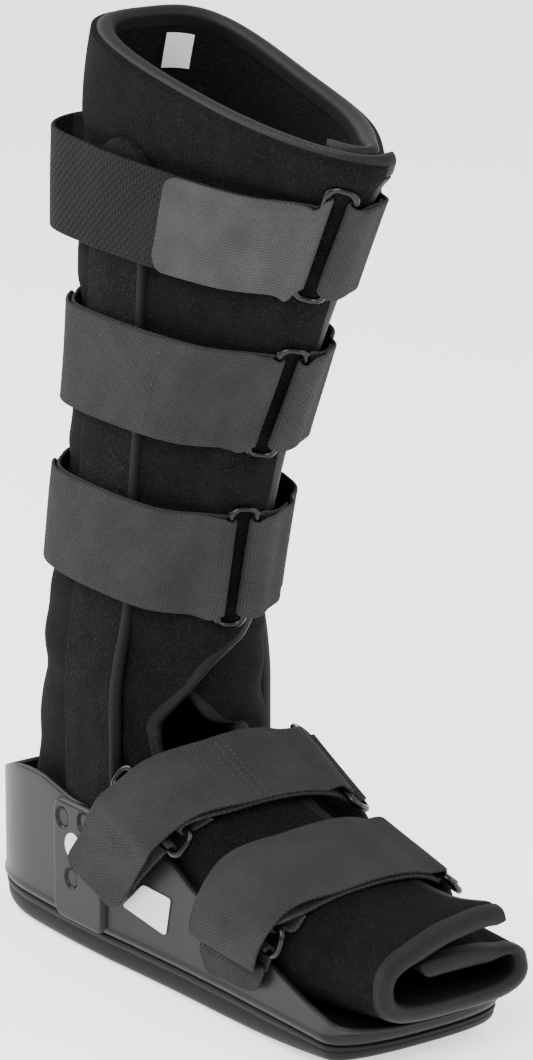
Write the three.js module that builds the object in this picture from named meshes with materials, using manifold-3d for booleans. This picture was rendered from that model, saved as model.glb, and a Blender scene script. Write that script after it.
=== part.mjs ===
// A tall walking boot for an injured ankle: a moulded shell on a rocker outsole, two upright stays in fabric
// sleeves, a padded wrap-round liner that is open at the rim, the instep and the toe, and five ring straps.
// Millimetres. +Z is up, the toe points to -Y, and the origin is on the ground under the uprights.
import * as THREE from "three";
import { mergeVertices } from "three/addons/utils/BufferGeometryUtils.js";
import Module from "manifold-3d";

const wasm = await Module();
wasm.setup();

// Overall sizes
const BOOT_HEIGHT = 442;
const ANKLE_HEIGHT = 122;
const SOLE_LENGTH = 302;
const HEEL_REACH = 100;
const LEG_DEPTH = 196;
const LEG_HALF_WIDTH = 44;

// Moulded shell and outsole
const SHELL_HALF_WIDTH = 49.5;
const SHELL_WALL = 3.2;
const SHELL_FLOOR = 3;
const SHELL_CUP_HEIGHT = 79;
const SHELL_TOE_FLARE = 5;
const OUTSOLE_HEIGHT = 14;
const OUTSOLE_BEVEL = 6;
const TOE_SPRING = 7;
const HEEL_SPRING = 6;
const HEEL_ROUND = 55;
const TOE_ROUND = 18;

// Side bosses, their rivets and the blank labels
const BOSS_WIDTH = 40;
const BOSS_HEIGHT = 58;
const BOSS_BACK = 1;
const BOSS_PROUD = 2.2;
const BOSS_CORNER = 6;
const RIVET_RADIUS = 4.4;
const RIVET_POCKET = 1.4;
const RIVET_SUNK = 0.3;
const LABEL_THICK = 0.5;
const ROUND_LABEL_RADIUS = 6.5;

// Uprights
const UPRIGHT_WIDTH = 41;
const UPRIGHT_THICK = 6;
const UPRIGHT_TOP = 392;
const UPRIGHT_RIBBON = 3.5;

// Padded liner
const LINER_THICK = 7;
const FLAP_GAP = 2.6;
const BINDING_WIDTH = 9.5;
const BINDING_PROUD = 0.6;
const RIM_SAG = 4;
const TOE_LEAN = 6;
const TIP_LIFT = 8;

// Webbing straps and their rings
const WEBBING_THICK = 1.8;
const LEG_STRAP_WIDTH = 48;
const FOOT_STRAP_WIDTH = 46;
const STRAP_CLEAR = 1.5;
const LAYER_CLEAR = 0.5;
const RING_BAR = 3.2;
const RING_SPAN = 13;
const RING_CORNER = 5;
const BACK_LIFT = 0.5;
const SLACK = 11.5;
const TAG_THICK = 0.5;

// Running gap between neighbouring pieces
const GAP = 0.3;

// Sections of the liner, from the rim down the leg, round the ankle and out to the toe. Each one lies
// across the boot, from a back (or sole) point to a front (or instep) point. taper narrows the front. far
// and near are the degrees by which the far and the near flap pass the front line, less than zero where a
// flap stops short. Leg rows: backUp and frontUp are shares of the height from ankle to rim, back and
// front shares of LEG_DEPTH, and half a share of LEG_HALF_WIDTH, which runs into the ankle's own width at
// the bottom.
const LEG_SECTIONS = [
  { backUp: 1.0, frontUp: 0.866, back: 0.087, front: -0.847, half: 1.0, taper: 0.4, far: 40, near: 16 },
  { backUp: 0.969, frontUp: 0.836, back: 0.102, front: -0.824, half: 1.0, taper: 0.4, far: 40, near: 16 },
  { backUp: 0.894, frontUp: 0.814, back: 0.133, front: -0.786, half: 0.995, taper: 0.4, far: 40, near: 16 },
  { backUp: 0.8, frontUp: 0.772, back: 0.151, front: -0.74, half: 0.98, taper: 0.395, far: 40, near: 16 },
  { backUp: 0.688, frontUp: 0.659, back: 0.161, front: -0.643, half: 0.96, taper: 0.38, far: 40, near: 16 },
  { backUp: 0.556, frontUp: 0.531, back: 0.176, front: -0.531, half: 0.945, taper: 0.35, far: 40, near: 16 },
  { backUp: 0.444, frontUp: 0.422, back: 0.196, front: -0.441, half: 0.93, taper: 0.3, far: 40, near: 16 },
  { backUp: 0.322, frontUp: 0.294, back: 0.24, front: -0.367, half: 0.92, taper: 0.25, far: 43, near: 16 },
  { backUp: 0.181, frontUp: 0.15, back: 0.301, front: -0.316, half: 0.9, taper: 0.22, far: 52, near: 10 },
  { backUp: 0.088, frontUp: 0.072, back: 0.334, front: -0.291, half: 0.95, taper: 0.2, far: 56, near: -20 },
  { backUp: 0.0, frontUp: -0.006, back: 0.352, front: -0.281, half: 0.99, taper: 0.18, far: 20, near: -48 },
];
// Foot rows: sole and top are shares of the way from heel to toe, rise and instep shares of the height
// from the shell's floor to the ankle, and half a share of the room inside the shell.
const FOOT_SECTIONS = [
  { sole: 0.086, rise: 0.636, top: 0.52, instep: 0.952, half: 1.06, taper: 0.15, far: -8, near: -51 },
  { sole: 0.073, rise: 0.272, top: 0.53, instep: 0.923, half: 1.06, taper: 0.15, far: -8, near: -50 },
  { sole: 0.106, rise: 0, top: 0.539, instep: 0.904, half: 1.06, taper: 0.15, far: -8, near: -44 },
  { sole: 0.258, rise: 0, top: 0.55, instep: 0.875, half: 1.06, taper: 0.15, far: -8, near: -34 },
  { sole: 0.404, rise: 0, top: 0.563, instep: 0.828, half: 1.06, taper: 0.12, far: -5, near: -20 },
  { sole: 0.536, rise: 0, top: 0.603, instep: 0.76, half: 0.93, taper: 0.08, far: 26, near: 14 },
  { sole: 0.635, rise: 0, top: 0.662, instep: 0.674, half: 0.925, taper: 0.05, far: 34, near: 22 },
  { sole: 0.735, rise: 0.004, top: 0.749, instep: 0.588, half: 0.925, taper: 0.04, far: 36, near: 28 },
  { sole: 0.838, rise: 0.014, top: 0.838, instep: 0.521, half: 0.925, taper: 0.03, far: 38, near: 32 },
  { sole: 0.944, rise: 0.034, top: 0.93, instep: 0.464, half: 0.92, taper: 0.03, far: 38, near: 34 },
  { sole: 1.01, rise: 0.062, top: 1.001, instep: 0.43, half: 0.905, taper: 0.03, far: 38, near: 34 },
  { sole: 1.042, rise: 0.08, top: 1.035, instep: 0.412, half: 0.9, taper: 0.03, far: 38, near: 34 },
];
// Squareness of a section: 2 is an ellipse, more is boxier. The sole side is boxier than the top.
const FRONT_SQUARE = 2.4;
const RIM_SQUARE = 3.4;
const ANKLE_SQUARE = 2.4;
const SOLE_SQUARE = 3.6;

// Side wall of the shell: at is the share of the way from heel to toe, half a share of SHELL_HALF_WIDTH,
// and top a share of the cup's height above the parting line.
const SHELL_SECTIONS = [
  { at: 0, half: 0.95, top: 0.75 },
  { at: 0.084, half: 0.955, top: 0.9 },
  { at: 0.142, half: 0.965, top: 0.985 },
  { at: 0.209, half: 0.985, top: 1.0 },
  { at: 0.252, half: 0.995, top: 0.96 },
  { at: 0.295, half: 1.0, top: 0.92 },
  { at: 0.391, half: 0.995, top: 0.91 },
  { at: 0.459, half: 0.975, top: 0.88 },
  { at: 0.559, half: 0.955, top: 0.77 },
  { at: 0.603, half: 0.95, top: 0.65 },
  { at: 0.699, half: 0.945, top: 0.52 },
  { at: 0.785, half: 0.955, top: 0.42 },
  { at: 0.891, half: 0.965, top: 0.25 },
  { at: 0.939, half: 0.97, top: 0.2 },
  { at: 1, half: 0.97, top: 0.13 },
];
// Centre line of the uprights: rise is a share of UPRIGHT_TOP, drift the way forward as a share of LEG_DEPTH.
const UPRIGHT_LINE = [
  { rise: 0.05, drift: 0.0 },
  { rise: 0.34, drift: 0.0 },
  { rise: 0.46, drift: 0.015 },
  { rise: 0.59, drift: 0.05 },
  { rise: 0.68, drift: 0.072 },
  { rise: 0.8, drift: 0.09 },
  { rise: 0.87, drift: 0.105 },
  { rise: 1.0, drift: 0.145 },
];
// Leg straps: low is the height of the lower edge at the back, as a share of the height from ankle to
// rim; ring is where the ring sits, in degrees round from the front, tab where the free end stops, and
// slack how far the strap stands away at the back, as a share of SLACK.
const LEG_STRAPS = [
  { name: "top", low: 0.688, ring: -20, tab: -88, slack: 1 },
  { name: "middle", low: 0.445, ring: -15, tab: -152, slack: 0 },
  { name: "lower", low: 0.195, ring: -14, tab: -140, slack: 0.1 },
];
// Foot straps, one row for each station from the free end on the near side over the foot to the far side.
// across is 1 where the strap lies against the side it is sewn to, rear and front (the two edges) are the way
// from heel to toe, and their rises shares of ANKLE_HEIGHT.
const INSTEP_STRAP = [
  { across: -1, rear: 0.312, rearRise: 0.377, front: 0.450, frontRise: 0.262 },
  { across: -1.02, rear: 0.365, rearRise: 0.525, front: 0.504, frontRise: 0.410 },
  { across: -1.0, rear: 0.411, rearRise: 0.656, front: 0.550, frontRise: 0.525 },
  { across: -0.9, rear: 0.457, rearRise: 0.754, front: 0.589, frontRise: 0.631 },
  { across: -0.67, rear: 0.490, rearRise: 0.844, front: 0.623, frontRise: 0.713 },
  { across: -0.24, rear: 0.520, rearRise: 0.915, front: 0.653, frontRise: 0.762 },
  { across: 0.2, rear: 0.530, rearRise: 0.915, front: 0.659, frontRise: 0.754 },
  { across: 0.58, rear: 0.530, rearRise: 0.852, front: 0.653, frontRise: 0.700 },
  { across: 0.84, rear: 0.516, rearRise: 0.754, front: 0.642, frontRise: 0.615 },
  { across: 1, rear: 0.504, rearRise: 0.590, front: 0.630, frontRise: 0.484 },
  { across: 1, rear: 0.490, rearRise: 0.377, front: 0.616, frontRise: 0.311 },
];
const FOREFOOT_STRAP = [
  { across: -1, rear: 0.659, rearRise: 0.180, front: 0.805, frontRise: 0.197 },
  { across: -1, rear: 0.652, rearRise: 0.328, front: 0.818, frontRise: 0.311 },
  { across: -1, rear: 0.672, rearRise: 0.443, front: 0.837, frontRise: 0.393 },
  { across: -0.91, rear: 0.692, rearRise: 0.549, front: 0.851, frontRise: 0.459 },
  { across: -0.57, rear: 0.706, rearRise: 0.647, front: 0.861, frontRise: 0.537 },
  { across: -0.05, rear: 0.715, rearRise: 0.680, front: 0.871, frontRise: 0.572 },
  { across: 0.43, rear: 0.715, rearRise: 0.664, front: 0.874, frontRise: 0.564 },
  { across: 0.76, rear: 0.709, rearRise: 0.597, front: 0.867, frontRise: 0.508 },
  { across: 0.96, rear: 0.695, rearRise: 0.507, front: 0.855, frontRise: 0.434 },
  { across: 1.04, rear: 0.675, rearRise: 0.385, front: 0.834, frontRise: 0.319 },
  { across: 1, rear: 0.663, rearRise: 0.237, front: 0.814, frontRise: 0.205 },
];
// nearRing and farRing: where each ring sits along its strap, as a share of the way round.
const FOOT_STRAPS = [
  { name: "instep", stations: INSTEP_STRAP, nearRing: 0.3, farRing: 0.72 },
  { name: "forefoot", stations: FOREFOOT_STRAP, nearRing: 0.24, farRing: 0.74 },
];

// Finish of each kind of piece
const finish = (color, roughness, metalness = 0) =>
  new THREE.MeshStandardMaterial({ color, roughness, metalness });
const FINISHES = {
  rubber: finish(0x1c1b1a, 0.85),
  moulded: finish(0x4a4744, 0.45),
  loop: finish(0x1f1c1e, 1.0),
  ribbon: finish(0x4b4848, 0.8),
  webbing: finish(0x464342, 0.9),
  gloss: finish(0x121212, 0.2),
  label: finish(0xe9e8e6, 0.6),
};

const boot = new THREE.Group();

function addPiece(name, geometry, material) {
  const mesh = new THREE.Mesh(geometry, material);
  mesh.name = name;
  boot.add(mesh);
}

const radians = (degrees) => (degrees * Math.PI) / 180;
const mix = (a, b, t) => a + (b - a) * t;
const clamp01 = (value) => Math.min(1, Math.max(0, value));

// A ramp from 0 to 1 between two values, level at both ends.
function ease(from, to, value) {
  const t = clamp01((value - from) / (to - from));
  return t * t * (3 - 2 * t);
}

// Every numeric column of two rows, blended.
function blendRows(a, b, t) {
  const columns = Object.keys(a).filter((key) => typeof a[key] === "number");
  return Object.fromEntries(columns.map((key) => [key, mix(a[key], b[key], t)]));
}

// A table read at any value of one of its columns.
function lookUp(rows, column, value) {
  const rising = rows.at(-1)[column] > rows[0][column];
  let i = 1;
  while (i < rows.length - 1 && (rising ? rows[i][column] < value : rows[i][column] > value)) i += 1;
  const share = (value - rows[i - 1][column]) / (rows[i][column] - rows[i - 1][column]);
  return blendRows(rows[i - 1], rows[i], clamp01(share));
}

// Heights and reaches that follow from the sizes above
const TOE_Y = HEEL_REACH - SOLE_LENGTH;
const PARTING = OUTSOLE_HEIGHT + GAP;
const SHELL_FLOOR_TOP = PARTING + SHELL_FLOOR;
const SOLE_REST = SHELL_FLOOR_TOP + GAP;
const LEG_RISE = BOOT_HEIGHT - ANKLE_HEIGHT;
const FOOT_RISE = ANKLE_HEIGHT - SOLE_REST;
const alongSole = (share) => HEEL_REACH - share * SOLE_LENGTH;

const SHELL_ROOM = SHELL_HALF_WIDTH - SHELL_WALL;
const ANKLE_ROOM = SHELL_ROOM - UPRIGHT_THICK - 3 * GAP;
const ANKLE_FILL = 1.07;
const BLEND_RISE = 0.35;
// Where along the sole the uprights stand beside the liner, the toe leans over and the near flap's tip lifts,
// and where up the leg the rim begins to dip
const STAY_END = 0.45;
const LEAN_START = 0.8;
const LIFT_START = 0.92;
const SAG_START = 0.8;

const legSections = LEG_SECTIONS.map((row) => ({
  backY: row.back * LEG_DEPTH,
  backZ: ANKLE_HEIGHT + row.backUp * LEG_RISE,
  frontY: row.front * LEG_DEPTH,
  frontZ: ANKLE_HEIGHT + row.frontUp * LEG_RISE,
  half: row.half * mix(ANKLE_FILL * ANKLE_ROOM, LEG_HALF_WIDTH, ease(0, BLEND_RISE, row.backUp)),
  taper: row.taper,
  sag: RIM_SAG * ease(SAG_START, 1, row.backUp),
  lean: 0,
  loose: 0,
  square: mix(ANKLE_SQUARE, RIM_SQUARE, row.backUp),
  far: row.far,
  near: row.near,
}));
const footSections = FOOT_SECTIONS.map((row) => ({
  backY: alongSole(row.sole),
  backZ: SOLE_REST + row.rise * FOOT_RISE,
  frontY: alongSole(row.top),
  frontZ: SOLE_REST + row.instep * FOOT_RISE,
  half: row.half * (row.sole < STAY_END ? ANKLE_ROOM : SHELL_ROOM),
  taper: row.taper,
  sag: 0,
  lean: TOE_LEAN * ease(LEAN_START, 1, row.sole),
  loose: TIP_LIFT * ease(LIFT_START, 1, row.sole),
  square: mix(SOLE_SQUARE, ANKLE_SQUARE, row.rise),
  far: row.far,
  near: row.near,
}));
const sections = [...legSections, ...footSections];
const ANKLE_PLACE = legSections.length - 1;
const TOE_PLACE = sections.length - 1;

// The section at any place between two rows.
function sectionAt(place) {
  const i = Math.min(Math.floor(place), sections.length - 2);
  return blendRows(sections[i], sections[i + 1], place - i);
}

// The place of the leg section whose back point has a given height.
function legPlace(height) {
  let i = 0;
  while (i < ANKLE_PLACE - 1 && sections[i + 1].backZ > height) i += 1;
  const share = (sections[i].backZ - height) / (sections[i].backZ - sections[i + 1].backZ);
  return i + clamp01(share);
}

// A point on the liner's skin: a superellipse in the section's plane, narrowed towards the front and grown
// outwards. The angle runs from the front over the far side to the back.
function skin(section, angle, grow) {
  const reachY = (section.frontY - section.backY) / 2;
  const reachZ = (section.frontZ - section.backZ) / 2;
  const reach = Math.hypot(reachY, reachZ);
  const c = Math.cos(angle);
  const s = Math.sin(angle);
  const power = 2 / (c > 0 ? FRONT_SQUARE : section.square);
  const along = Math.sign(c) * Math.abs(c) ** power;
  const across = Math.sign(s) * Math.abs(s) ** power;
  const narrow = 1 - (section.taper * (1 + along)) / 2;
  const stretch = (along * (reach + grow)) / reach;
  return new THREE.Vector3(
    section.lean + across * (section.half * narrow + grow),
    (section.frontY + section.backY) / 2 + reachY * stretch,
    (section.frontZ + section.backZ) / 2 + reachZ * stretch - section.sag * (1 - along ** 2),
  );
}

// The place reached along a curve from a start, after a distance; the curve gives a point for every place.
function walk(curve, start, distance, stride) {
  const step = stride * Math.sign(distance);
  let left = Math.abs(distance);
  let here = start;
  for (;;) {
    const length = curve(here).distanceTo(curve(here + step));
    if (length >= left) return here + (step * left) / length;
    left -= length;
    here += step;
  }
}

// Half the liner's width at a point of its side.
function sideOf(y, z) {
  let height = z;
  let section = sectionAt(legPlace(height));
  let share = 0;
  for (let round = 0; round < 8; round += 1) {
    share = clamp01((section.backY - y) / (section.backY - section.frontY));
    height = z - (section.frontZ - section.backZ) * share;
    section = sectionAt(legPlace(height));
  }
  const along = 2 * share - 1;
  const square = along > 0 ? FRONT_SQUARE : section.square;
  const across = (1 - Math.abs(along) ** square) ** (1 / square);
  return section.half * across * (1 - section.taper * share);
}

// A closed body between two grids of points with the same rows and columns.
function bodyBetween(outer, inner) {
  const rows = outer.length;
  const columns = outer[0].length;
  const points = [...outer.flat(), ...inner.flat()];
  const index = [];
  const at = (side, i, j) => side * rows * columns + i * columns + j;
  const quad = (a, b, c, d) => index.push(a, b, c, a, c, d);
  for (let i = 0; i < rows - 1; i += 1) {
    for (let j = 0; j < columns - 1; j += 1) {
      quad(at(0, i, j), at(0, i + 1, j), at(0, i + 1, j + 1), at(0, i, j + 1));
      quad(at(1, i, j), at(1, i, j + 1), at(1, i + 1, j + 1), at(1, i + 1, j));
    }
    quad(at(0, i, 0), at(1, i, 0), at(1, i + 1, 0), at(0, i + 1, 0));
    const j = columns - 1;
    quad(at(0, i, j), at(0, i + 1, j), at(1, i + 1, j), at(1, i, j));
  }
  for (let j = 0; j < columns - 1; j += 1) {
    quad(at(0, 0, j), at(0, 0, j + 1), at(1, 0, j + 1), at(1, 0, j));
    const i = rows - 1;
    quad(at(0, i, j), at(1, i, j), at(1, i, j + 1), at(0, i, j + 1));
  }
  return outwardBody(points, index);
}

// A geometry from points and triangles, turned so that its faces point out.
function outwardBody(points, index) {
  let volume = 0;
  for (let i = 0; i < index.length; i += 3) {
    const [a, b, c] = [points[index[i]], points[index[i + 1]], points[index[i + 2]]];
    volume += a.dot(new THREE.Vector3().crossVectors(b, c));
  }
  const turned = volume < 0 ? [...index].reverse() : index;
  const geometry = new THREE.BufferGeometry().setFromPoints(points);
  return geometry.setIndex(turned);
}

// A strip of even thickness about a middle surface given as a grid of points.
function strip(grid, thickness) {
  const rows = grid.length;
  const columns = grid[0].length;
  const shifted = (side) =>
    grid.map((row, i) =>
      row.map((point, j) => {
        const ahead = grid[Math.min(i + 1, rows - 1)][j].clone().sub(grid[Math.max(i - 1, 0)][j]);
        const aside = row[Math.min(j + 1, columns - 1)].clone().sub(row[Math.max(j - 1, 0)]);
        const normal = ahead.cross(aside).normalize();
        return point.clone().addScaledVector(normal, (side * thickness) / 2);
      }),
    );
  return bodyBetween(shifted(1), shifted(-1));
}

// A ring of bar stock with rounded corners, round a slot for the webbing.
function ringGeometry({ middle, tangent, sideways, normal }, webbingWidth) {
  const sides = 6;
  const run = RING_SPAN / 2 - RING_CORNER;
  const length = webbingWidth / 2 + GAP;
  const points = [];
  const index = [];
  const corners = [[1, 1, 0], [-1, 1, 90], [-1, -1, 180], [1, -1, 270]];
  const stations = corners.flatMap(([along, across, turn]) =>
    [0, 30, 60, 90].map((a) => ({ along: along * run, across: across * length, turn: radians(turn + a) })),
  );
  stations.forEach(({ along, across, turn }, k) => {
    const outward = tangent.clone().multiplyScalar(Math.cos(turn)).addScaledVector(sideways, Math.sin(turn));
    const centre = middle
      .clone()
      .addScaledVector(tangent, along)
      .addScaledVector(sideways, across)
      .addScaledVector(outward, RING_CORNER);
    for (let m = 0; m < sides; m += 1) {
      const a = (2 * Math.PI * m) / sides;
      points.push(
        centre
          .clone()
          .addScaledVector(outward, (RING_BAR / 2) * Math.cos(a))
          .addScaledVector(normal, (RING_BAR / 2) * Math.sin(a)),
      );
      const [here, next] = [k * sides, ((k + 1) % stations.length) * sides];
      const round = (m + 1) % sides;
      index.push(here + m, next + m, next + round, here + m, next + round, here + round);
    }
  });
  return outwardBody(points, index);
}

// Plan outline of the shell and outsole, from heel to toe, grown outwards and drawn out at the toe.
const PLAN_STEPS = 22;
const PLAN_SQUARE = 2.5;
const roundEnd = (share) => (1 - (1 - clamp01(share)) ** PLAN_SQUARE) ** (1 / PLAN_SQUARE);

const shellHalfAt = (y) =>
  SHELL_HALF_WIDTH * lookUp(SHELL_SECTIONS, "at", (HEEL_REACH - y) / SOLE_LENGTH).half;
const shellTopAt = (y) =>
  PARTING + (SHELL_CUP_HEIGHT - PARTING) * lookUp(SHELL_SECTIONS, "at", (HEEL_REACH - y) / SOLE_LENGTH).top;

function planStations(grow, toeGrow) {
  const heel = HEEL_REACH + grow;
  const toe = TOE_Y - grow - toeGrow;
  return Array.from({ length: PLAN_STEPS + 1 }, (_, k) => {
    const share = (1 - Math.cos((Math.PI * k) / PLAN_STEPS)) / 2;
    const y = mix(heel, toe, share);
    const rounding = roundEnd((heel - y) / (HEEL_ROUND + grow)) * roundEnd((y - toe) / (TOE_ROUND + grow));
    return { y, half: (shellHalfAt(y) + grow) * rounding, place: mix(HEEL_REACH, TOE_Y, share) };
  });
}

// A closed body through a stack of plan outlines, each with its own height along the boot, flat across at
// both ends.
function planBody(layers) {
  const around = 2 * PLAN_STEPS;
  const points = [];
  const index = [];
  layers.forEach(({ grow, toeGrow, height }) => {
    const stations = planStations(grow, toeGrow);
    for (let m = 0; m < around; m += 1) {
      const near = m <= PLAN_STEPS;
      const { y, half, place } = stations[near ? m : around - m];
      points.push(new THREE.Vector3(near ? -half : half, y, height(place)));
    }
  });
  const at = (layer, m) => layer * around + (m % around);
  for (let layer = 0; layer < layers.length - 1; layer += 1) {
    for (let m = 0; m < around; m += 1) {
      index.push(at(layer, m), at(layer, m + 1), at(layer + 1, m + 1));
      index.push(at(layer, m), at(layer + 1, m + 1), at(layer + 1, m));
    }
  }
  const cap = (layer, flip) => {
    for (let k = 0; k < PLAN_STEPS; k += 1) {
      const quad = [at(layer, k), at(layer, k + 1), at(layer, around - k - 1), at(layer, around - k)];
      const corners = quad.filter((corner, i) => quad.indexOf(corner) === i);
      for (let i = 1; i < corners.length - 1; i += 1) {
        const triangle = [corners[0], corners[i], corners[i + 1]];
        index.push(...(flip ? triangle.reverse() : triangle));
      }
    }
  };
  cap(0, true);
  cap(layers.length - 1, false);
  return outwardBody(points, index);
}

// The ground side of the outsole: level under the leg and the ball of the foot, sprung up at toe and heel.
const FLAT_BACK = 50;
const FLAT_FRONT = -100;
function treadHeight(y) {
  const toe = clamp01((FLAT_FRONT - y) / (FLAT_FRONT - TOE_Y));
  const heel = clamp01((y - FLAT_BACK) / (HEEL_REACH - FLAT_BACK));
  return TOE_SPRING * toe ** 2 + HEEL_SPRING * heel ** 2;
}

function addOutsole() {
  const edge = (y) => mix(treadHeight(y), OUTSOLE_HEIGHT, 0.55);
  const layers = [
    { grow: -OUTSOLE_BEVEL, toeGrow: 0, height: treadHeight },
    { grow: -1, toeGrow: 0, height: edge },
    { grow: -0.4, toeGrow: 0, height: () => OUTSOLE_HEIGHT },
  ];
  addPiece("outsole", planBody(layers), FINISHES.rubber);
}

function asSolid(geometry) {
  const bare = geometry.clone();
  bare.deleteAttribute("normal");
  bare.deleteAttribute("uv");
  const merged = mergeVertices(bare, 1e-4);
  return new wasm.Manifold(
    new wasm.Mesh({
      numProp: 3,
      vertProperties: new Float32Array(merged.attributes.position.array),
      triVerts: new Uint32Array(merged.index.array),
    }),
  );
}

function fromSolid(solid) {
  const mesh = solid.getMesh();
  const geometry = new THREE.BufferGeometry();
  geometry.setAttribute("position", new THREE.BufferAttribute(mesh.vertProperties, 3));
  geometry.setIndex(new THREE.BufferAttribute(mesh.triVerts, 1));
  return geometry;
}

// A flat plate on one side of the boot, extruded outwards between two distances from the middle. The
// shape's first axis runs along Y and its second up.
function sidePlate(shape, side, from, to) {
  const options = { depth: to - from, bevelEnabled: false, curveSegments: 6 };
  const flat = new THREE.ExtrudeGeometry(shape, options);
  const position = flat.attributes.position;
  const points = [];
  for (let i = 0; i < position.count; i += 1) {
    points.push(new THREE.Vector3(side * (from + position.getZ(i)), position.getX(i), position.getY(i)));
  }
  const index = flat.index ? [...flat.index.array] : points.map((_, i) => i);
  return outwardBody(points, index);
}

function roundedRectangle(y0, y1, z0, z1, corner) {
  const shape = new THREE.Shape();
  shape.moveTo(y0 + corner, z0);
  shape.lineTo(y1 - corner, z0);
  shape.absarc(y1 - corner, z0 + corner, corner, -Math.PI / 2, 0);
  shape.lineTo(y1, z1 - corner);
  shape.absarc(y1 - corner, z1 - corner, corner, 0, Math.PI / 2);
  shape.lineTo(y0 + corner, z1);
  shape.absarc(y0 + corner, z1 - corner, corner, Math.PI / 2, Math.PI);
  shape.lineTo(y0, z0 + corner);
  shape.absarc(y0 + corner, z0 + corner, corner, Math.PI, 1.5 * Math.PI);
  return shape;
}

function disc(y, z, radius) {
  const shape = new THREE.Shape();
  shape.absarc(y, z, radius, 0, 2 * Math.PI);
  return shape;
}

// Places on a boss, as shares of its width behind and its height above its middle
const BOSS_MIDDLE = PARTING + BOSS_HEIGHT / 2;
const BOSS_FACE = SHELL_HALF_WIDTH + BOSS_PROUD;
const BOSS_ROOT = 1.5;
const RIVETS = [
  { back: 0.3, up: 0.357 },
  { back: -0.15, up: 0.391 },
  { back: 0.125, up: -0.134 },
];
const onBoss = ({ back, up }) => [BOSS_BACK + back * BOSS_WIDTH, BOSS_MIDDLE + up * BOSS_HEIGHT];

function addShell() {
  const middle = (y) => mix(PARTING, shellTopAt(y), 0.5);
  const innerMiddle = (y) => mix(SHELL_FLOOR_TOP, shellTopAt(y), 0.5);
  const layers = [
    { grow: -0.4, toeGrow: 0, height: () => PARTING },
    { grow: 0, toeGrow: SHELL_TOE_FLARE / 2, height: middle },
    { grow: -SHELL_WALL * 0.15, toeGrow: SHELL_TOE_FLARE, height: (y) => shellTopAt(y) - SHELL_WALL * 0.3 },
    { grow: -SHELL_WALL * 0.5, toeGrow: SHELL_TOE_FLARE, height: shellTopAt },
    { grow: -SHELL_WALL * 0.9, toeGrow: SHELL_TOE_FLARE, height: (y) => shellTopAt(y) - SHELL_WALL * 0.3 },
    { grow: -SHELL_WALL, toeGrow: SHELL_TOE_FLARE / 2, height: innerMiddle },
    { grow: -SHELL_WALL, toeGrow: 0, height: () => SHELL_FLOOR_TOP },
  ];
  let shell = asSolid(planBody(layers));
  const edges = [BOSS_BACK - BOSS_WIDTH / 2, BOSS_BACK + BOSS_WIDTH / 2, PARTING, PARTING + BOSS_HEIGHT];
  for (const side of [-1, 1]) {
    const outline = roundedRectangle(...edges, BOSS_CORNER);
    shell = shell.add(asSolid(sidePlate(outline, side, SHELL_HALF_WIDTH - BOSS_ROOT, BOSS_FACE)));
    for (const rivet of RIVETS) {
      const pocket = disc(...onBoss(rivet), RIVET_RADIUS + GAP);
      shell = shell.subtract(asSolid(sidePlate(pocket, side, BOSS_FACE - RIVET_POCKET, BOSS_FACE + 1)));
    }
  }
  addPiece("shell", fromSolid(shell), FINISHES.moulded);
}

function addRivets() {
  for (const [sideName, side] of [["near", -1], ["far", 1]]) {
    RIVETS.forEach((rivet, i) => {
      const shape = disc(...onBoss(rivet), RIVET_RADIUS);
      const face = sidePlate(shape, side, BOSS_FACE - RIVET_POCKET + GAP, BOSS_FACE - RIVET_SUNK);
      addPiece(`rivet_${sideName}_${i + 1}`, face, FINISHES.moulded);
    });
  }
}

// The two blank labels on the near side: a round one on the boss and a four-sided one on the wall.
const ROUND_LABEL = { back: 0.075, up: 0.15 };
const PATCH_CORNERS = [
  { at: 0.44, up: 0.29 },
  { at: 0.493, up: 0.52 },
  { at: 0.55, up: 0.212 },
  { at: 0.563, up: 0.505 },
];

function addLabels() {
  const face = BOSS_FACE + GAP;
  const round = disc(...onBoss(ROUND_LABEL), ROUND_LABEL_RADIUS);
  addPiece("round_label", sidePlate(round, -1, face, face + LABEL_THICK), FINISHES.label);
  const [lowRear, highRear, lowFront, highFront] = PATCH_CORNERS;
  const grid = (lift) =>
    [0, 0.33, 0.67, 1].map((t) =>
      [0, 0.5, 1].map((up) => {
        const low = blendRows(lowRear, lowFront, t);
        const high = blendRows(highRear, highFront, t);
        const spot = blendRows(low, high, up);
        const y = alongSole(spot.at);
        const z = PARTING + spot.up * (SHELL_CUP_HEIGHT - PARTING);
        return new THREE.Vector3(-(shellHalfAt(y) + GAP + lift), y, z);
      }),
    );
  addPiece("side_label", bodyBetween(grid(LABEL_THICK), grid(0)), FINISHES.label);
}

// Uprights: flat inside the shell, then close along the liner's side, with a round top.
const UPRIGHT_FOOT = SOLE_REST + 4;
const UPRIGHT_SEAT = ANKLE_ROOM + GAP;
const FOLLOW_RISE = 60;

const uprightMiddle = (z) => -LEG_DEPTH * lookUp(UPRIGHT_LINE, "rise", z / UPRIGHT_TOP).drift;

function uprightInside(y, z) {
  const high = Math.max(z, ANKLE_HEIGHT + 1);
  const beside = sideOf(y, high) + GAP;
  const seat = mix(UPRIGHT_SEAT, beside, ease(ANKLE_HEIGHT, ANKLE_HEIGHT + FOLLOW_RISE, z));
  return z > ANKLE_HEIGHT ? Math.max(seat, beside) : seat;
}

function uprightBody(side, heights, edgesAt, columns) {
  const grid = (lift) =>
    heights.map((z) => {
      const [rear, fore] = edgesAt(z);
      return Array.from({ length: columns + 1 }, (_, j) => {
        const y = mix(rear, fore, j / columns);
        return new THREE.Vector3(side * (uprightInside(y, z) + lift), y, z);
      });
    });
  return bodyBetween(grid(UPRIGHT_THICK), grid(0));
}

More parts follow.
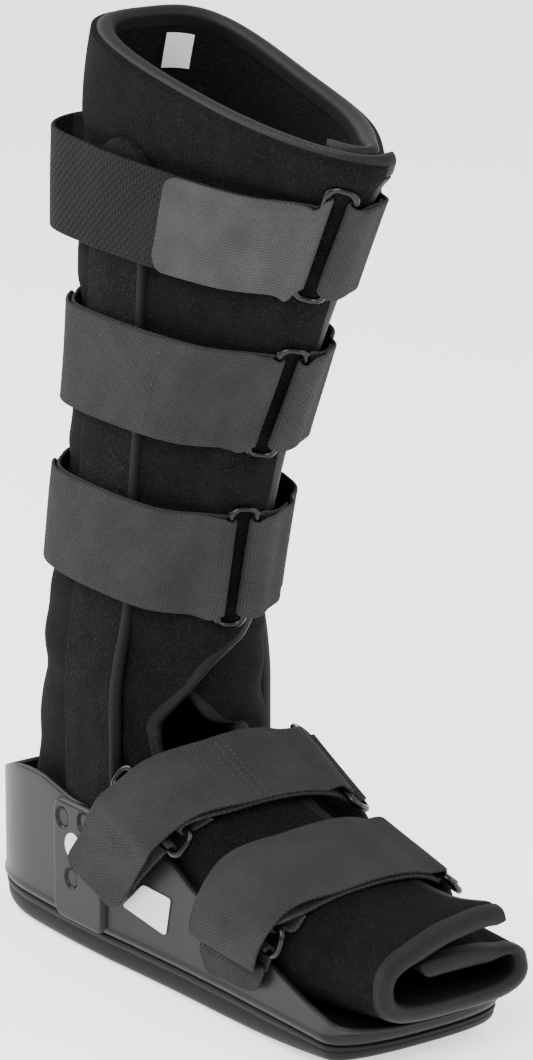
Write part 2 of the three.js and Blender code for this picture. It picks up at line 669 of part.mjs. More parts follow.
function addUprights() {
  const half = UPRIGHT_WIDTH / 2;
  const shoulder = UPRIGHT_TOP - half;
  const straight = Array.from({ length: 15 }, (_, i) => mix(UPRIGHT_FOOT, shoulder, i / 14));
  const crown = [25, 45, 65, 80].map((angle) => shoulder + half * Math.sin(radians(angle)));
  const reach = (z) => Math.sqrt(Math.max(0, 1 - (Math.max(0, z - shoulder) / half) ** 2)) * half;
  const ribbonAt = (z) => uprightMiddle(z) - half;
  for (const [sideName, side] of [["near", -1], ["far", 1]]) {
    const sleeveEdges = (z) => {
      const fore = Math.min(reach(z), half - UPRIGHT_RIBBON - GAP);
      return [uprightMiddle(z) + reach(z), uprightMiddle(z) - fore];
    };
    const ribbonEdges = (z) => [ribbonAt(z) + UPRIGHT_RIBBON, ribbonAt(z)];
    const sleeve = uprightBody(side, [...straight, ...crown], sleeveEdges, 3);
    addPiece(`upright_${sideName}`, sleeve, FINISHES.loop);
    addPiece(`upright_ribbon_${sideName}`, uprightBody(side, straight, ribbonEdges, 1), FINISHES.ribbon);
  }
}

// The liner is one wrapped sheet: its near flap lies over its far flap, which is set in by a layer.
const LAYER_STEP = LINER_THICK + FLAP_GAP;
const LOOSE_SPREAD = 70;
const LINER_COLUMNS = 32;

const farEdge = (section) => radians(-section.far);
const nearEdge = (section) => radians(360 + section.near);

function layerAt(section, angle) {
  const start = radians(Math.max(section.near, 0) + 8);
  const inset = LAYER_STEP * (1 - ease(start, start + radians(60), angle));
  return section.loose * ease(nearEdge(section) - radians(LOOSE_SPREAD), nearEdge(section), angle) - inset;
}

function linerGrid(places, edges, columns, grow) {
  return places.map((place) => {
    const section = sectionAt(place);
    const [from, to] = edges(section);
    return Array.from({ length: columns + 1 }, (_, j) => {
      const angle = mix(from, to, j / columns);
      return skin(section, angle, layerAt(section, angle) + grow);
    });
  });
}

function sheetBody(places, edges, columns, proud) {
  const outer = linerGrid(places, edges, columns, proud);
  const inner = linerGrid(places, edges, columns, -LINER_THICK - proud);
  return bodyBetween(outer, inner);
}

const skinWalk = (section, start, distance) =>
  walk((angle) => skin(section, angle, 0), start, distance, radians(0.5));
const inFromFar = (section, distance) => skinWalk(section, farEdge(section), distance);
const inFromNear = (section, distance) => skinWalk(section, nearEdge(section), -distance);

// Places from one to another: every row, and more of them where a flap's edge swings quickly.
const SWING = 14;

function placesBetween(from, to) {
  const places = [from];
  for (let i = Math.floor(from); i < to; i += 1) {
    const swing = Math.abs(sectionAt(i + 1).near - sectionAt(i).near);
    const parts = Math.max(1, Math.ceil(swing / SWING));
    for (let part = 1; part <= parts; part += 1) places.push(i + part / parts);
  }
  return [...places.filter((place) => place < to - 0.05), to];
}

function addLiner() {
  const body = (section) => [
    inFromFar(section, BINDING_WIDTH + GAP + BINDING_PROUD),
    inFromNear(section, BINDING_WIDTH + GAP + BINDING_PROUD),
  ];
  const slit = 0.04;
  const legPlaces = placesBetween(1 + slit, ANKLE_PLACE);
  const footPlaces = placesBetween(ANKLE_PLACE + slit, TOE_PLACE - 1 - slit);
  addPiece("leg_liner", sheetBody(legPlaces, body, LINER_COLUMNS, 0), FINISHES.loop);
  addPiece("foot_liner", sheetBody(footPlaces, body, LINER_COLUMNS, 0), FINISHES.loop);
  const whole = (section) => [farEdge(section), nearEdge(section)];
  addPiece("rim_binding", sheetBody([0, 1], whole, LINER_COLUMNS, BINDING_PROUD), FINISHES.ribbon);
  const toePlaces = [TOE_PLACE - 1, TOE_PLACE];
  addPiece("toe_binding", sheetBody(toePlaces, whole, LINER_COLUMNS, BINDING_PROUD), FINISHES.ribbon);
  const edgePlaces = placesBetween(1 + slit, TOE_PLACE - 1 - slit);
  const farStrip = (section) => [farEdge(section), inFromFar(section, BINDING_WIDTH)];
  const nearStrip = (section) => [inFromNear(section, BINDING_WIDTH), nearEdge(section)];
  addPiece("far_flap_binding", sheetBody(edgePlaces, farStrip, 2, BINDING_PROUD), FINISHES.ribbon);
  addPiece("near_flap_binding", sheetBody(edgePlaces, nearStrip, 2, BINDING_PROUD), FINISHES.ribbon);
}

// A blank woven tag on the inside of the liner, below the rim at the back.
const TAG = { from: 153, to: 173, top: 1.08, bottom: 1.8 };

function addTag() {
  const places = [TAG.top, TAG.bottom];
  const edges = () => [radians(TAG.from), radians(TAG.to)];
  const outer = linerGrid(places, edges, 3, -LINER_THICK - BINDING_PROUD - GAP);
  const inner = linerGrid(places, edges, 3, -LINER_THICK - BINDING_PROUD - GAP - TAG_THICK);
  addPiece("inner_tag", bodyBetween(outer, inner), FINISHES.label);
}

// Distances of a strap's middle surface from what it lies on
const LOOP_RADIUS = (RING_BAR + WEBBING_THICK) / 2 + GAP;
const LAY_UNDER = STRAP_CLEAR + WEBBING_THICK / 2;
const LAY_OVER = LAY_UNDER + WEBBING_THICK + LAYER_CLEAR;
const LAY_BAR = LAY_UNDER + LOOP_RADIUS;
const ANCHOR_RETURN = 24;
const SETTLE = 12;

// How far a leg strap is held off the liner: over the uprights, and standing away at the back.
function strapLift(angle, slack) {
  const turned = Math.abs(((angle + Math.PI) % (2 * Math.PI)) - Math.PI);
  const overUpright = (UPRIGHT_THICK + 2 * GAP) * ease(radians(36), radians(66), turned);
  return mix(overUpright, BACK_LIFT + slack * SLACK, ease(radians(110), radians(145), turned));
}

// The place reached after following a strap's course for a distance. A base gives points of a course from
// a place along it, a distance off the surface and a share of the webbing's width.
const follow = (base, place, distance) => walk((at) => base(at, LAY_UNDER, 0.5), place, distance, base.step);

// The frame of a ring on a course: its middle, the ways along and across the webbing, and the way out.
function ringFrame(base, place) {
  const middle = base(place, LAY_BAR, 0.5);
  const sideways = base(place, LAY_BAR, 1).sub(base(place, LAY_BAR, 0)).normalize();
  const ahead = base(place + base.step, LAY_BAR, 0.5).sub(base(place - base.step, LAY_BAR, 0.5));
  const normal = new THREE.Vector3().crossVectors(ahead, sideways).normalize();
  const tangent = new THREE.Vector3().crossVectors(sideways, normal).normalize();
  return { middle, sideways, tangent, normal };
}

const ACROSS = [0, 1];

// The distance off the surface at which webbing clears a ring's bar on its outer side.
function overBar(base, frame, place) {
  const foot = base(place, LAY_UNDER, 0.5);
  return LAY_UNDER + LOOP_RADIUS + frame.middle.clone().sub(foot).dot(frame.normal);
}

// Rows of a strap's middle surface between two places, its distance off the surface changing evenly.
function layRows(base, from, to, offFrom, offTo, count) {
  return Array.from({ length: count }, (_, i) => {
    const t = count > 1 ? i / (count - 1) : 0;
    return ACROSS.map((w) => base(mix(from, to, t), mix(offFrom, offTo, t), w));
  });
}

// Rows of a loop of webbing round one bar of a ring, from its inner to its outer side. turn is 1 where
// the loop bulges onwards along the course and -1 where it bulges back.
function loopRows(frame, turn, width) {
  const bar = frame.middle.clone().addScaledVector(frame.tangent, (-turn * RING_SPAN) / 2);
  return [-76, -38, 0, 38, 76].map((angle) =>
    ACROSS.map((w) =>
      bar
        .clone()
        .addScaledVector(frame.sideways, (w - 0.5) * width)
        .addScaledVector(frame.tangent, turn * LOOP_RADIUS * Math.cos(radians(angle)))
        .addScaledVector(frame.normal, LOOP_RADIUS * Math.sin(radians(angle))),
    ),
  );
}

// The end of a strap with its corners taken off.
function roundedEnd(rows) {
  const narrow = [0.99, 0.93, 0.78];
  return rows.map((row, i) => {
    const fromEnd = rows.length - 1 - i;
    if (fromEnd >= narrow.length) return row;
    const share = narrow[narrow.length - 1 - fromEnd];
    const middle = row[0].clone().lerp(row[1], 0.5);
    return row.map((point) => middle.clone().lerp(point, share));
  });
}

function addRing(name, frame, width) {
  addPiece(name, ringGeometry(frame, width), FINISHES.gloss);
}

function addLegStrap({ name, low, ring, tab, slack }) {
  const lowZ = ANKLE_HEIGHT + low * LEG_RISE;
  const base = (angle, off, w) =>
    skin(sectionAt(legPlace(lowZ + w * LEG_STRAP_WIDTH)), angle, strapLift(angle, slack) + off);
  base.step = 0.01;
  const start = radians(ring);
  const frame = ringFrame(base, start);
  const far = follow(base, start, RING_SPAN / 2);
  const near = follow(base, start, -RING_SPAN / 2);
  const round = near + 2 * Math.PI;
  const from = (place, distance) => follow(base, place, distance);
  const over = (place) => overBar(base, frame, place % (2 * Math.PI));
  const anchored = from(far, ANCHOR_RETURN + SETTLE);
  const rows = [
    ...layRows(base, from(far, ANCHOR_RETURN), from(far, 1), LAY_UNDER, LAY_UNDER, 4),
    ...loopRows(frame, -1, LEG_STRAP_WIDTH),
    ...layRows(base, from(far, 2), from(far, SETTLE), over(from(far, 2)), LAY_OVER, 3),
    ...layRows(base, from(far, ANCHOR_RETURN + 2), anchored, LAY_OVER, LAY_UNDER, 2),
    ...layRows(base, anchored, from(round, -1), LAY_UNDER, LAY_UNDER, 27).slice(1),
    ...loopRows(frame, 1, LEG_STRAP_WIDTH),
    ...layRows(base, from(round, -2), from(round, -SETTLE), over(from(round, -2)), LAY_OVER, 3),
    ...layRows(base, from(round, -SETTLE), radians(360 + tab), LAY_OVER, LAY_OVER, 12).slice(1),
  ];
  addPiece(`strap_${name}`, strip(roundedEnd(rows), WEBBING_THICK), FINISHES.webbing);
  addRing(`ring_${name}`, frame, LEG_STRAP_WIDTH);
}

// The course of a foot strap, from its free end on the near side over the foot to the far side.
function footCourse(stations, side) {
  const curve = (edge, rise) => {
    const points = stations.map((row) => {
      const x = row.across * (side + GAP - STRAP_CLEAR);
      return new THREE.Vector3(x, alongSole(row[edge]), row[rise] * ANKLE_HEIGHT);
    });
    return new THREE.CatmullRomCurve3(points);
  };
  const rear = curve("rear", "rearRise");
  const front = curve("front", "frontRise");
  const surface = (t, w) => front.getPoint(clamp01(t)).lerp(rear.getPoint(clamp01(t)), w);
  const base = (t, off, w) => {
    const ahead = surface(t + 0.01, w).sub(surface(t - 0.01, w));
    const aside = surface(t, 1).sub(surface(t, 0));
    return surface(t, w).addScaledVector(ahead.cross(aside).normalize(), off);
  };
  base.step = 0.002;
  return base;
}

// The side that each foot strap is sewn to
const STRAP_SIDES = { instep: BOSS_FACE, forefoot: shellHalfAt(alongSole(0.75)) };
const RETURN_SHORT = 12;
const ANCHOR_FOOT = 0.08;

function addFootStrap({ name, stations, nearRing, farRing }) {
  const base = footCourse(stations, STRAP_SIDES[name]);
  const from = (place, distance) => follow(base, place, distance);
  const nearFrame = ringFrame(base, nearRing);
  const farFrame = ringFrame(base, farRing);
  const rise = from(nearRing, RING_SPAN / 2);
  const drop = from(nearRing, -RING_SPAN / 2);
  const fold = from(farRing, -RING_SPAN / 2);
  const hang = from(farRing, RING_SPAN / 2);
  const overNear = (place) => overBar(base, nearFrame, place);
  const overFar = (place) => overBar(base, farFrame, place);
  const top = (place) => overNear(place) + WEBBING_THICK + LAYER_CLEAR;
  const cleared = from(rise, RETURN_SHORT + SETTLE);
  const under = from(drop, -SETTLE);
  const rows = [
    ...layRows(base, from(rise, RETURN_SHORT), from(rise, 1), LAY_UNDER, LAY_UNDER, 2),
    ...loopRows(nearFrame, -1, FOOT_STRAP_WIDTH),
    ...layRows(base, from(rise, 2), from(rise, RETURN_SHORT), overNear(from(rise, 2)), LAY_OVER, 2),
    ...layRows(base, cleared, from(fold, -1), LAY_UNDER, LAY_UNDER, 10),
    ...loopRows(farFrame, 1, FOOT_STRAP_WIDTH),
    ...layRows(base, from(fold, -2), from(fold, -SETTLE), overFar(from(fold, -2)), LAY_OVER, 2),
    ...layRows(base, from(fold, -SETTLE), from(cleared, SETTLE), LAY_OVER, LAY_OVER, 8).slice(1),
    ...layRows(base, from(rise, 5), from(drop, -5), top(from(rise, 5)), top(from(drop, -5)), 3),
    ...layRows(base, under, ANCHOR_FOOT + 0.02, LAY_OVER, LAY_OVER, 4),
    ...layRows(base, ANCHOR_FOOT - 0.03, 0, LAY_OVER, LAY_OVER, 3),
  ];
  addPiece(`strap_${name}`, strip(roundedEnd(rows), WEBBING_THICK), FINISHES.webbing);
  const nearAnchor = [
    ...layRows(base, ANCHOR_FOOT, from(drop, -1), LAY_UNDER, LAY_UNDER, 6),
    ...loopRows(nearFrame, 1, FOOT_STRAP_WIDTH),
  ];
  const farAnchor = [
    ...layRows(base, 1, from(hang, 1), LAY_UNDER, LAY_UNDER, 8),
    ...loopRows(farFrame, -1, FOOT_STRAP_WIDTH),
  ];
  addPiece(`anchor_${name}_near`, strip(nearAnchor, WEBBING_THICK), FINISHES.webbing);
  addPiece(`anchor_${name}_far`, strip(farAnchor, WEBBING_THICK), FINISHES.webbing);
  addRing(`ring_${name}_near`, nearFrame, FOOT_STRAP_WIDTH);
  addRing(`ring_${name}_far`, farFrame, FOOT_STRAP_WIDTH);
}

addOutsole();
addShell();
addRivets();
addLabels();
addUprights();
addLiner();
addTag();
LEG_STRAPS.forEach(addLegStrap);
FOOT_STRAPS.forEach(addFootStrap);

export default boot;
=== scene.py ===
"""The looks of a tall walking boot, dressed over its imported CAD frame.

Sizes are millimetres, as on the part's own drawing, and meshes are made in metres. The toe points to -Y,
up is +Z, and the near side of the boot is at -X.
"""
import logging
import math
from dataclasses import dataclass, field
from enum import Enum
from typing import Callable, Sequence

import bpy
import numpy as np
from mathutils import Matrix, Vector


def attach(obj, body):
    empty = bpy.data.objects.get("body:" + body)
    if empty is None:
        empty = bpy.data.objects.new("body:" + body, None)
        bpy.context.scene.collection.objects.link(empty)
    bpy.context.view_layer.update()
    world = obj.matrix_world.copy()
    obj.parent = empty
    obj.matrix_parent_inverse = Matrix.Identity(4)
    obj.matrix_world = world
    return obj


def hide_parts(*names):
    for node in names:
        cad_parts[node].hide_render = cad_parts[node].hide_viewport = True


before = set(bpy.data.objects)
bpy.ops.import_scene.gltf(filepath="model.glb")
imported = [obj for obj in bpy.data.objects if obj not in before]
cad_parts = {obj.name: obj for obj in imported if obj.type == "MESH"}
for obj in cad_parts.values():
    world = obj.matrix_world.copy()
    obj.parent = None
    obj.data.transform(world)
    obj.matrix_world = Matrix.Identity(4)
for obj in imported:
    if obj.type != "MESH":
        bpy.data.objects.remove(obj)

LOG = logging.getLogger("boot")
BODY = "root"
MM = 0.001
GAP = 0.3

# Overall sizes
BOOT_HEIGHT = 442.0
ANKLE_HEIGHT = 122.0
SOLE_LENGTH = 302.0
HEEL_REACH = 100.0
LEG_DEPTH = 196.0
LEG_HALF_WIDTH = 44.0
TOE_Y = HEEL_REACH - SOLE_LENGTH
LEG_RISE = BOOT_HEIGHT - ANKLE_HEIGHT

# Shell and outsole
SHELL_HALF_WIDTH = 49.5
SHELL_WALL = 3.2
SHELL_CUP_HEIGHT = 79.0
SHELL_TOE_FLARE = 5.0
OUTSOLE_HEIGHT = 14.0
PARTING = OUTSOLE_HEIGHT + GAP
SHELL_FLOOR_TOP = PARTING + 3.0
SOLE_REST = SHELL_FLOOR_TOP + GAP
FOOT_RISE = ANKLE_HEIGHT - SOLE_REST
SHELL_ROOM = SHELL_HALF_WIDTH - SHELL_WALL
BOSS_FACE = SHELL_HALF_WIDTH + 2.2

# Uprights, padding and straps
UPRIGHT_WIDTH = 41.0
UPRIGHT_THICK = 6.0
UPRIGHT_TOP = 392.0
ANKLE_ROOM = SHELL_ROOM - UPRIGHT_THICK - 3 * GAP
LINER_THICK = 7.0
LAYER_STEP = LINER_THICK + 2.6
TAPE_WIDTH = 9.5
WEBBING_THICK = 1.8
LEG_STRAP_WIDTH = 48.0
FOOT_STRAP_WIDTH = 46.0
STRAP_CORNER = 9.0
LEG_RETURN = 24.0
FOOT_RETURN = 12.0
STITCH_STEP = 3.1
STITCH_LENGTH = 2.0
THREAD_RADIUS = 0.42
STRAP_CLEAR = 1.5
LAYER_CLEAR = 0.5
RING_BAR = 3.2
RING_SPAN = 13.0
RING_CORNER = 5.0
SLACK = 11.5
BACK_LIFT = 0.5
SETTLE = 12.0
LOOP_RADIUS = (RING_BAR + WEBBING_THICK) / 2 + GAP
LAY_UNDER = STRAP_CLEAR + WEBBING_THICK / 2
LAY_OVER = LAY_UNDER + WEBBING_THICK + LAYER_CLEAR
LAY_BAR = LAY_UNDER + LOOP_RADIUS

# Leg rows of the liner: shares for the back's and the front's height, the back's and the front's reach, the
# half width and the taper, then the degrees by which the far and the near flap pass the front line.
LEG_ROWS = np.array([
    [1.000, 0.866, 0.087, -0.847, 1.000, 0.400, 40, 16],
    [0.969, 0.836, 0.102, -0.824, 1.000, 0.400, 40, 16],
    [0.894, 0.814, 0.133, -0.786, 0.995, 0.400, 40, 16],
    [0.800, 0.772, 0.151, -0.740, 0.980, 0.395, 40, 16],
    [0.688, 0.659, 0.161, -0.643, 0.960, 0.380, 40, 16],
    [0.556, 0.531, 0.176, -0.531, 0.945, 0.350, 40, 16],
    [0.444, 0.422, 0.196, -0.441, 0.930, 0.300, 40, 16],
    [0.322, 0.294, 0.240, -0.367, 0.920, 0.250, 43, 16],
    [0.181, 0.150, 0.301, -0.316, 0.900, 0.220, 52, 10],
    [0.088, 0.072, 0.334, -0.291, 0.950, 0.200, 56, -20],
    [0.000, -0.006, 0.352, -0.281, 0.990, 0.180, 20, -48],
])
# Foot rows: shares for the sole point along the boot and its height, the top point along the boot and its
# height, the half width and the taper, then the far and the near flap.
FOOT_ROWS = np.array([
    [0.086, 0.636, 0.520, 0.952, 1.060, 0.15, -8, -51],
    [0.073, 0.272, 0.530, 0.923, 1.060, 0.15, -8, -50],
    [0.106, 0.000, 0.539, 0.904, 1.060, 0.15, -8, -44],
    [0.258, 0.000, 0.550, 0.875, 1.060, 0.15, -8, -34],
    [0.404, 0.000, 0.563, 0.828, 1.060, 0.12, -5, -20],
    [0.536, 0.000, 0.603, 0.760, 0.930, 0.08, 26, 14],
    [0.635, 0.000, 0.662, 0.674, 0.925, 0.05, 34, 22],
    [0.735, 0.004, 0.749, 0.588, 0.925, 0.04, 36, 28],
    [0.838, 0.014, 0.838, 0.521, 0.925, 0.03, 38, 32],
    [0.944, 0.034, 0.930, 0.464, 0.920, 0.03, 38, 34],
    [1.010, 0.062, 1.001, 0.430, 0.905, 0.03, 38, 34],
    [1.042, 0.080, 1.035, 0.412, 0.900, 0.03, 38, 34],
])
# Shell wall: the share of the way from heel to toe, of the half width, and of the cup's height.
SHELL_ROWS = np.array([
    [0.000, 0.950, 0.75], [0.084, 0.955, 0.90], [0.142, 0.965, 0.985], [0.209, 0.985, 1.00],
    [0.252, 0.995, 0.96], [0.295, 1.000, 0.92], [0.391, 0.995, 0.91], [0.459, 0.975, 0.88],
    [0.559, 0.955, 0.77], [0.603, 0.950, 0.65], [0.699, 0.945, 0.52], [0.785, 0.955, 0.42],
    [0.891, 0.965, 0.25], [0.939, 0.970, 0.20], [1.000, 0.970, 0.13],
])
# Centre line of the uprights: the share of their height, and the drift forward as a share of LEG_DEPTH.
UPRIGHT_ROWS = np.array([
    [0.05, 0.0], [0.34, 0.0], [0.46, 0.015], [0.59, 0.05],
    [0.68, 0.072], [0.8, 0.09], [0.87, 0.105], [1.0, 0.145],
])
# Stations of the foot straps, from the free end over the foot to the far side: the share across, then the
# rear edge's and the front edge's place along the boot, each with its share of ANKLE_HEIGHT.
INSTEP_ROWS = np.array([
    [-1.00, 0.312, 0.377, 0.450, 0.262], [-1.02, 0.365, 0.525, 0.504, 0.410],
    [-1.00, 0.411, 0.656, 0.550, 0.525], [-0.90, 0.457, 0.754, 0.589, 0.631],
    [-0.67, 0.490, 0.844, 0.623, 0.713], [-0.24, 0.520, 0.915, 0.653, 0.762],
    [0.20, 0.530, 0.915, 0.659, 0.754], [0.58, 0.530, 0.852, 0.653, 0.700],
    [0.84, 0.516, 0.754, 0.642, 0.615], [1.00, 0.504, 0.590, 0.630, 0.484],
    [1.00, 0.490, 0.377, 0.616, 0.311],
])
FOREFOOT_ROWS = np.array([
    [-1.00, 0.659, 0.180, 0.805, 0.197], [-1.00, 0.652, 0.328, 0.818, 0.311],
    [-1.00, 0.672, 0.443, 0.837, 0.393], [-0.91, 0.692, 0.549, 0.851, 0.459],
    [-0.57, 0.706, 0.647, 0.861, 0.537], [-0.05, 0.715, 0.680, 0.871, 0.572],
    [0.43, 0.715, 0.664, 0.874, 0.564], [0.76, 0.709, 0.597, 0.867, 0.508],
    [0.96, 0.695, 0.507, 0.855, 0.434], [1.04, 0.675, 0.385, 0.834, 0.319],
    [1.00, 0.663, 0.237, 0.814, 0.205],
])


def ease(start: float, stop: float, value: np.ndarray) -> np.ndarray:
    """A ramp from 0 to 1 between start and stop, level at both ends."""
    t = np.clip((value - start) / (stop - start), 0.0, 1.0)
    return t * t * (3 - 2 * t)


def rounding(distance: np.ndarray, radius: float) -> np.ndarray:
    """A quarter circle's height, from 0 on an edge to 1 at radius from it."""
    t = 1 - np.clip(distance / radius, 0.0, 1.0)
    return np.sqrt(np.maximum(0.0, 1 - t * t))


def along_sole(share: np.ndarray) -> np.ndarray:
    """The Y of a share of the way from heel to toe."""
    return HEEL_REACH - share * SOLE_LENGTH


def read_rows(rows: np.ndarray, place: np.ndarray) -> np.ndarray:
    """Reads a table between its rows: a cubic through the four rows around each place.

    Args:
        rows: The table, one entry per row, of any further shape.
        place: Row numbers with fractions, of any shape.

    Returns:
        The table's values, shaped as place and then as one row.
    """
    place = np.clip(np.asarray(place, float), 0, len(rows) - 1)
    i = np.minimum(place.astype(int), len(rows) - 2)
    t = (place - i).reshape(place.shape + (1,) * (rows.ndim - 1))
    wide = np.concatenate([2 * rows[:1] - rows[1:2], rows, 2 * rows[-1:] - rows[-2:-1]])
    a, b, c, d = (wide[i + k] for k in range(4))
    return 0.5 * (2 * b + (c - a) * t + (2 * a - 5 * b + 4 * c - d) * t**2 + (3 * b - a - 3 * c + d) * t**3)


def carry_rows(rows: np.ndarray, knots: np.ndarray, at: np.ndarray) -> np.ndarray:
    """Carries a row of points smoothly through others, by Hermite cubics with tangents from both neighbours.

    Args:
        rows: Points as (row, column, 3).
        knots: The distance of each row along the course.
        at: The distances to read.

    Returns:
        Points as (distance, column, 3).
    """
    gap = np.diff(knots)[:, None, None]
    slope = np.diff(rows, axis=0) / gap
    tangent = np.concatenate([slope[:1], slope[:1].repeat(len(rows) - 2, 0), slope[-1:]])
    tangent[1:-1] = (slope[:-1] * gap[1:] + slope[1:] * gap[:-1]) / (gap[1:] + gap[:-1])
    i = np.clip(np.searchsorted(knots, at) - 1, 0, len(gap) - 1)
    h = gap[i]
    t = (at - knots[i])[:, None, None] / h
    start = (2 * t**3 - 3 * t**2 + 1) * rows[i] + (t**3 - 2 * t**2 + t) * h * tangent[i]
    return start + (3 * t**2 - 2 * t**3) * rows[i + 1] + (t**3 - t**2) * h * tangent[i + 1]


def unit(vectors: np.ndarray) -> np.ndarray:
    """The vectors at length one."""
    return vectors / np.maximum(np.linalg.norm(vectors, axis=-1, keepdims=True), 1e-9)


def grid_normals(grid: np.ndarray) -> np.ndarray:
    """The unit normals of a grid of points, from the steps along its rows and columns."""
    return unit(np.cross(np.gradient(grid, axis=0), np.gradient(grid, axis=1)))


def run_length(points: np.ndarray) -> np.ndarray:
    """The distance run along a line of points, starting at 0."""
    return np.concatenate([[0.0], np.cumsum(np.linalg.norm(np.diff(points, axis=0), axis=-1))])


def unevenness(u: np.ndarray, v: np.ndarray, seed: int) -> np.ndarray:
    """A soft unevenness from -1 to 1: a mean of slanted waves with chosen lengths and phases.

    Args:
        u: First place on the surface.
        v: Second place on the surface.
        seed: Chooses the waves, the same ones each run.

    Returns:
        The unevenness, with the broadcast shape of both places.
    """
    rng = np.random.default_rng(seed)
    turn, phase = rng.uniform(0, 2 * math.pi, 7), rng.uniform(0, 2 * math.pi, 7)
    pace = rng.uniform(0.6, 2.2, 7)
    waves = [np.sin(p * (u * math.cos(a) + v * math.sin(a)) + f) for a, f, p in zip(turn, phase, pace)]
    return np.mean(waves, axis=0) * 1.6


def edge_steps(length: float, step: float, fine: float) -> np.ndarray:
    """Distances that lie close together at both ends and wider apart between.

    Args:
        length: The last distance.
        step: Distance between neighbours in the middle stretch.
        fine: Length of the close stretch at each end.

    Returns:
        Distances from 0 to length.
    """
    share = np.array([0.0, 0.02, 0.08, 0.18, 0.32, 0.5, 0.72]) * fine
    middle = np.linspace(fine, length - fine, max(3, int((length - 2 * fine) / step)))
    return np.concatenate([share, middle, (length - share)[::-1]])


def quads_of(index: np.ndarray) -> np.ndarray:
    """The quads between neighbouring entries of a grid of vertex numbers."""
    corners = [index[:-1, :-1], index[1:, :-1], index[1:, 1:], index[:-1, 1:]]
    return np.stack(corners, -1).reshape(-1, 4)


def make_object(name: str, points: np.ndarray, quads: np.ndarray, uv: np.ndarray) -> bpy.types.Object:
    """Makes a smooth-shaded object whose faces point outward.

    Args:
        name: Name of the piece.
        points: Vertices in millimetres.
        quads: Vertex numbers, four for each face.
        uv: A pair in metres for each corner of each face.

    Returns:
        The object, linked into the scene.
    """
    a, b, c, d = (points[quads[:, k]] for k in range(4))
    volume = np.sum(a * np.cross(b, c)) + np.sum(a * np.cross(c, d))
    if volume < 0:
        quads, uv = quads[:, ::-1], uv[:, ::-1]
    mesh = bpy.data.meshes.new(name)
    mesh.vertices.add(len(points))
    mesh.vertices.foreach_set("co", np.ascontiguousarray(points * MM, np.float32).ravel())
    mesh.loops.add(quads.size)
    mesh.loops.foreach_set("vertex_index", np.ascontiguousarray(quads, np.int32).ravel())
    mesh.polygons.add(len(quads))
    mesh.polygons.foreach_set("loop_start", np.arange(0, quads.size, 4, dtype=np.int32))
    mesh.polygons.foreach_set("use_smooth", np.ones(len(quads), bool))
    mesh.uv_layers.new(name="UVMap").data.foreach_set("uv", np.ascontiguousarray(uv, np.float32).ravel())
    mesh.update(calc_edges=True)
    mesh.validate()
    piece = bpy.data.objects.new(name, mesh)
    bpy.context.scene.collection.objects.link(piece)
    return piece


def slab(name: str, outer: np.ndarray, inner: np.ndarray, uv: np.ndarray) -> bpy.types.Object:
    """A closed body between two grids of points that meet along all four edges.

    Args:
        name: Name of the piece.
        outer: Points as (row, column, 3) in millimetres.
        inner: The same for the other face; its own edge points aren't used.
        uv: A pair in millimetres for each grid point.

    Returns:
        The object.
    """
    rows, columns = outer.shape[:2]
    top = np.arange(rows * columns).reshape(rows, columns)
    under = top.copy()
    under[1:-1, 1:-1] = rows * columns + np.arange((rows - 2) * (columns - 2)).reshape(rows - 2, columns - 2)
    points = np.concatenate([outer.reshape(-1, 3), inner[1:-1, 1:-1].reshape(-1, 3)])
    corners = quads_of(top)
    quads = np.concatenate([corners, quads_of(under)[:, ::-1]])
    pairs = (uv * MM).reshape(-1, 2)[np.concatenate([corners, corners[:, ::-1]])]
    return make_object(name, points, quads, pairs)


def ring_body(name: str, grid: np.ndarray, closed: bool) -> bpy.types.Object:
    """A body through rings of points, each joined back to its start.

    Args:
        name: Name of the piece.
        grid: Points as (ring, point, 3) in millimetres.
        closed: Whether the last ring joins the first one.

    Returns:
        The object.
    """
    rings, around = grid.shape[:2]
    index = np.arange(rings * around).reshape(rings, around)
    index = np.concatenate([index, index[:, :1]], axis=1)
    if closed:
        index = np.concatenate([index, index[:1]])
    u = run_length(grid[:, 0])
    v = run_length(grid[0])
    step_u = np.append(u, u[-1] + RING_BAR) if closed else u
    pairs = np.stack(np.meshgrid(step_u, np.append(v, v[-1] + 1.0), indexing="ij"), -1) * MM
    corners = quads_of(np.arange(pairs.shape[0] * pairs.shape[1]).reshape(pairs.shape[:2]))
    return make_object(name, grid.reshape(-1, 3), quads_of(index), pairs.reshape(-1, 2)[corners])


def joined(name: str, pieces: Sequence[bpy.types.Object]) -> bpy.types.Object:
    """Makes one object from several that share a finish.

    Args:
        name: Name of the piece.
        pieces: The objects.

    Returns:
        The first object, with all the others in its mesh.
    """
    with bpy.context.temp_override(active_object=pieces[0], selected_editable_objects=list(pieces)):
        bpy.ops.object.join()
    pieces[0].name = name
    return pieces[0]


class Pattern(Enum):
    """The fine surface of a finish."""

    LOOPS = "brushed loops"
    WEAVE = "woven threads"
    RIBS = "ribbed tape"
    GRAIN = "moulded grain"


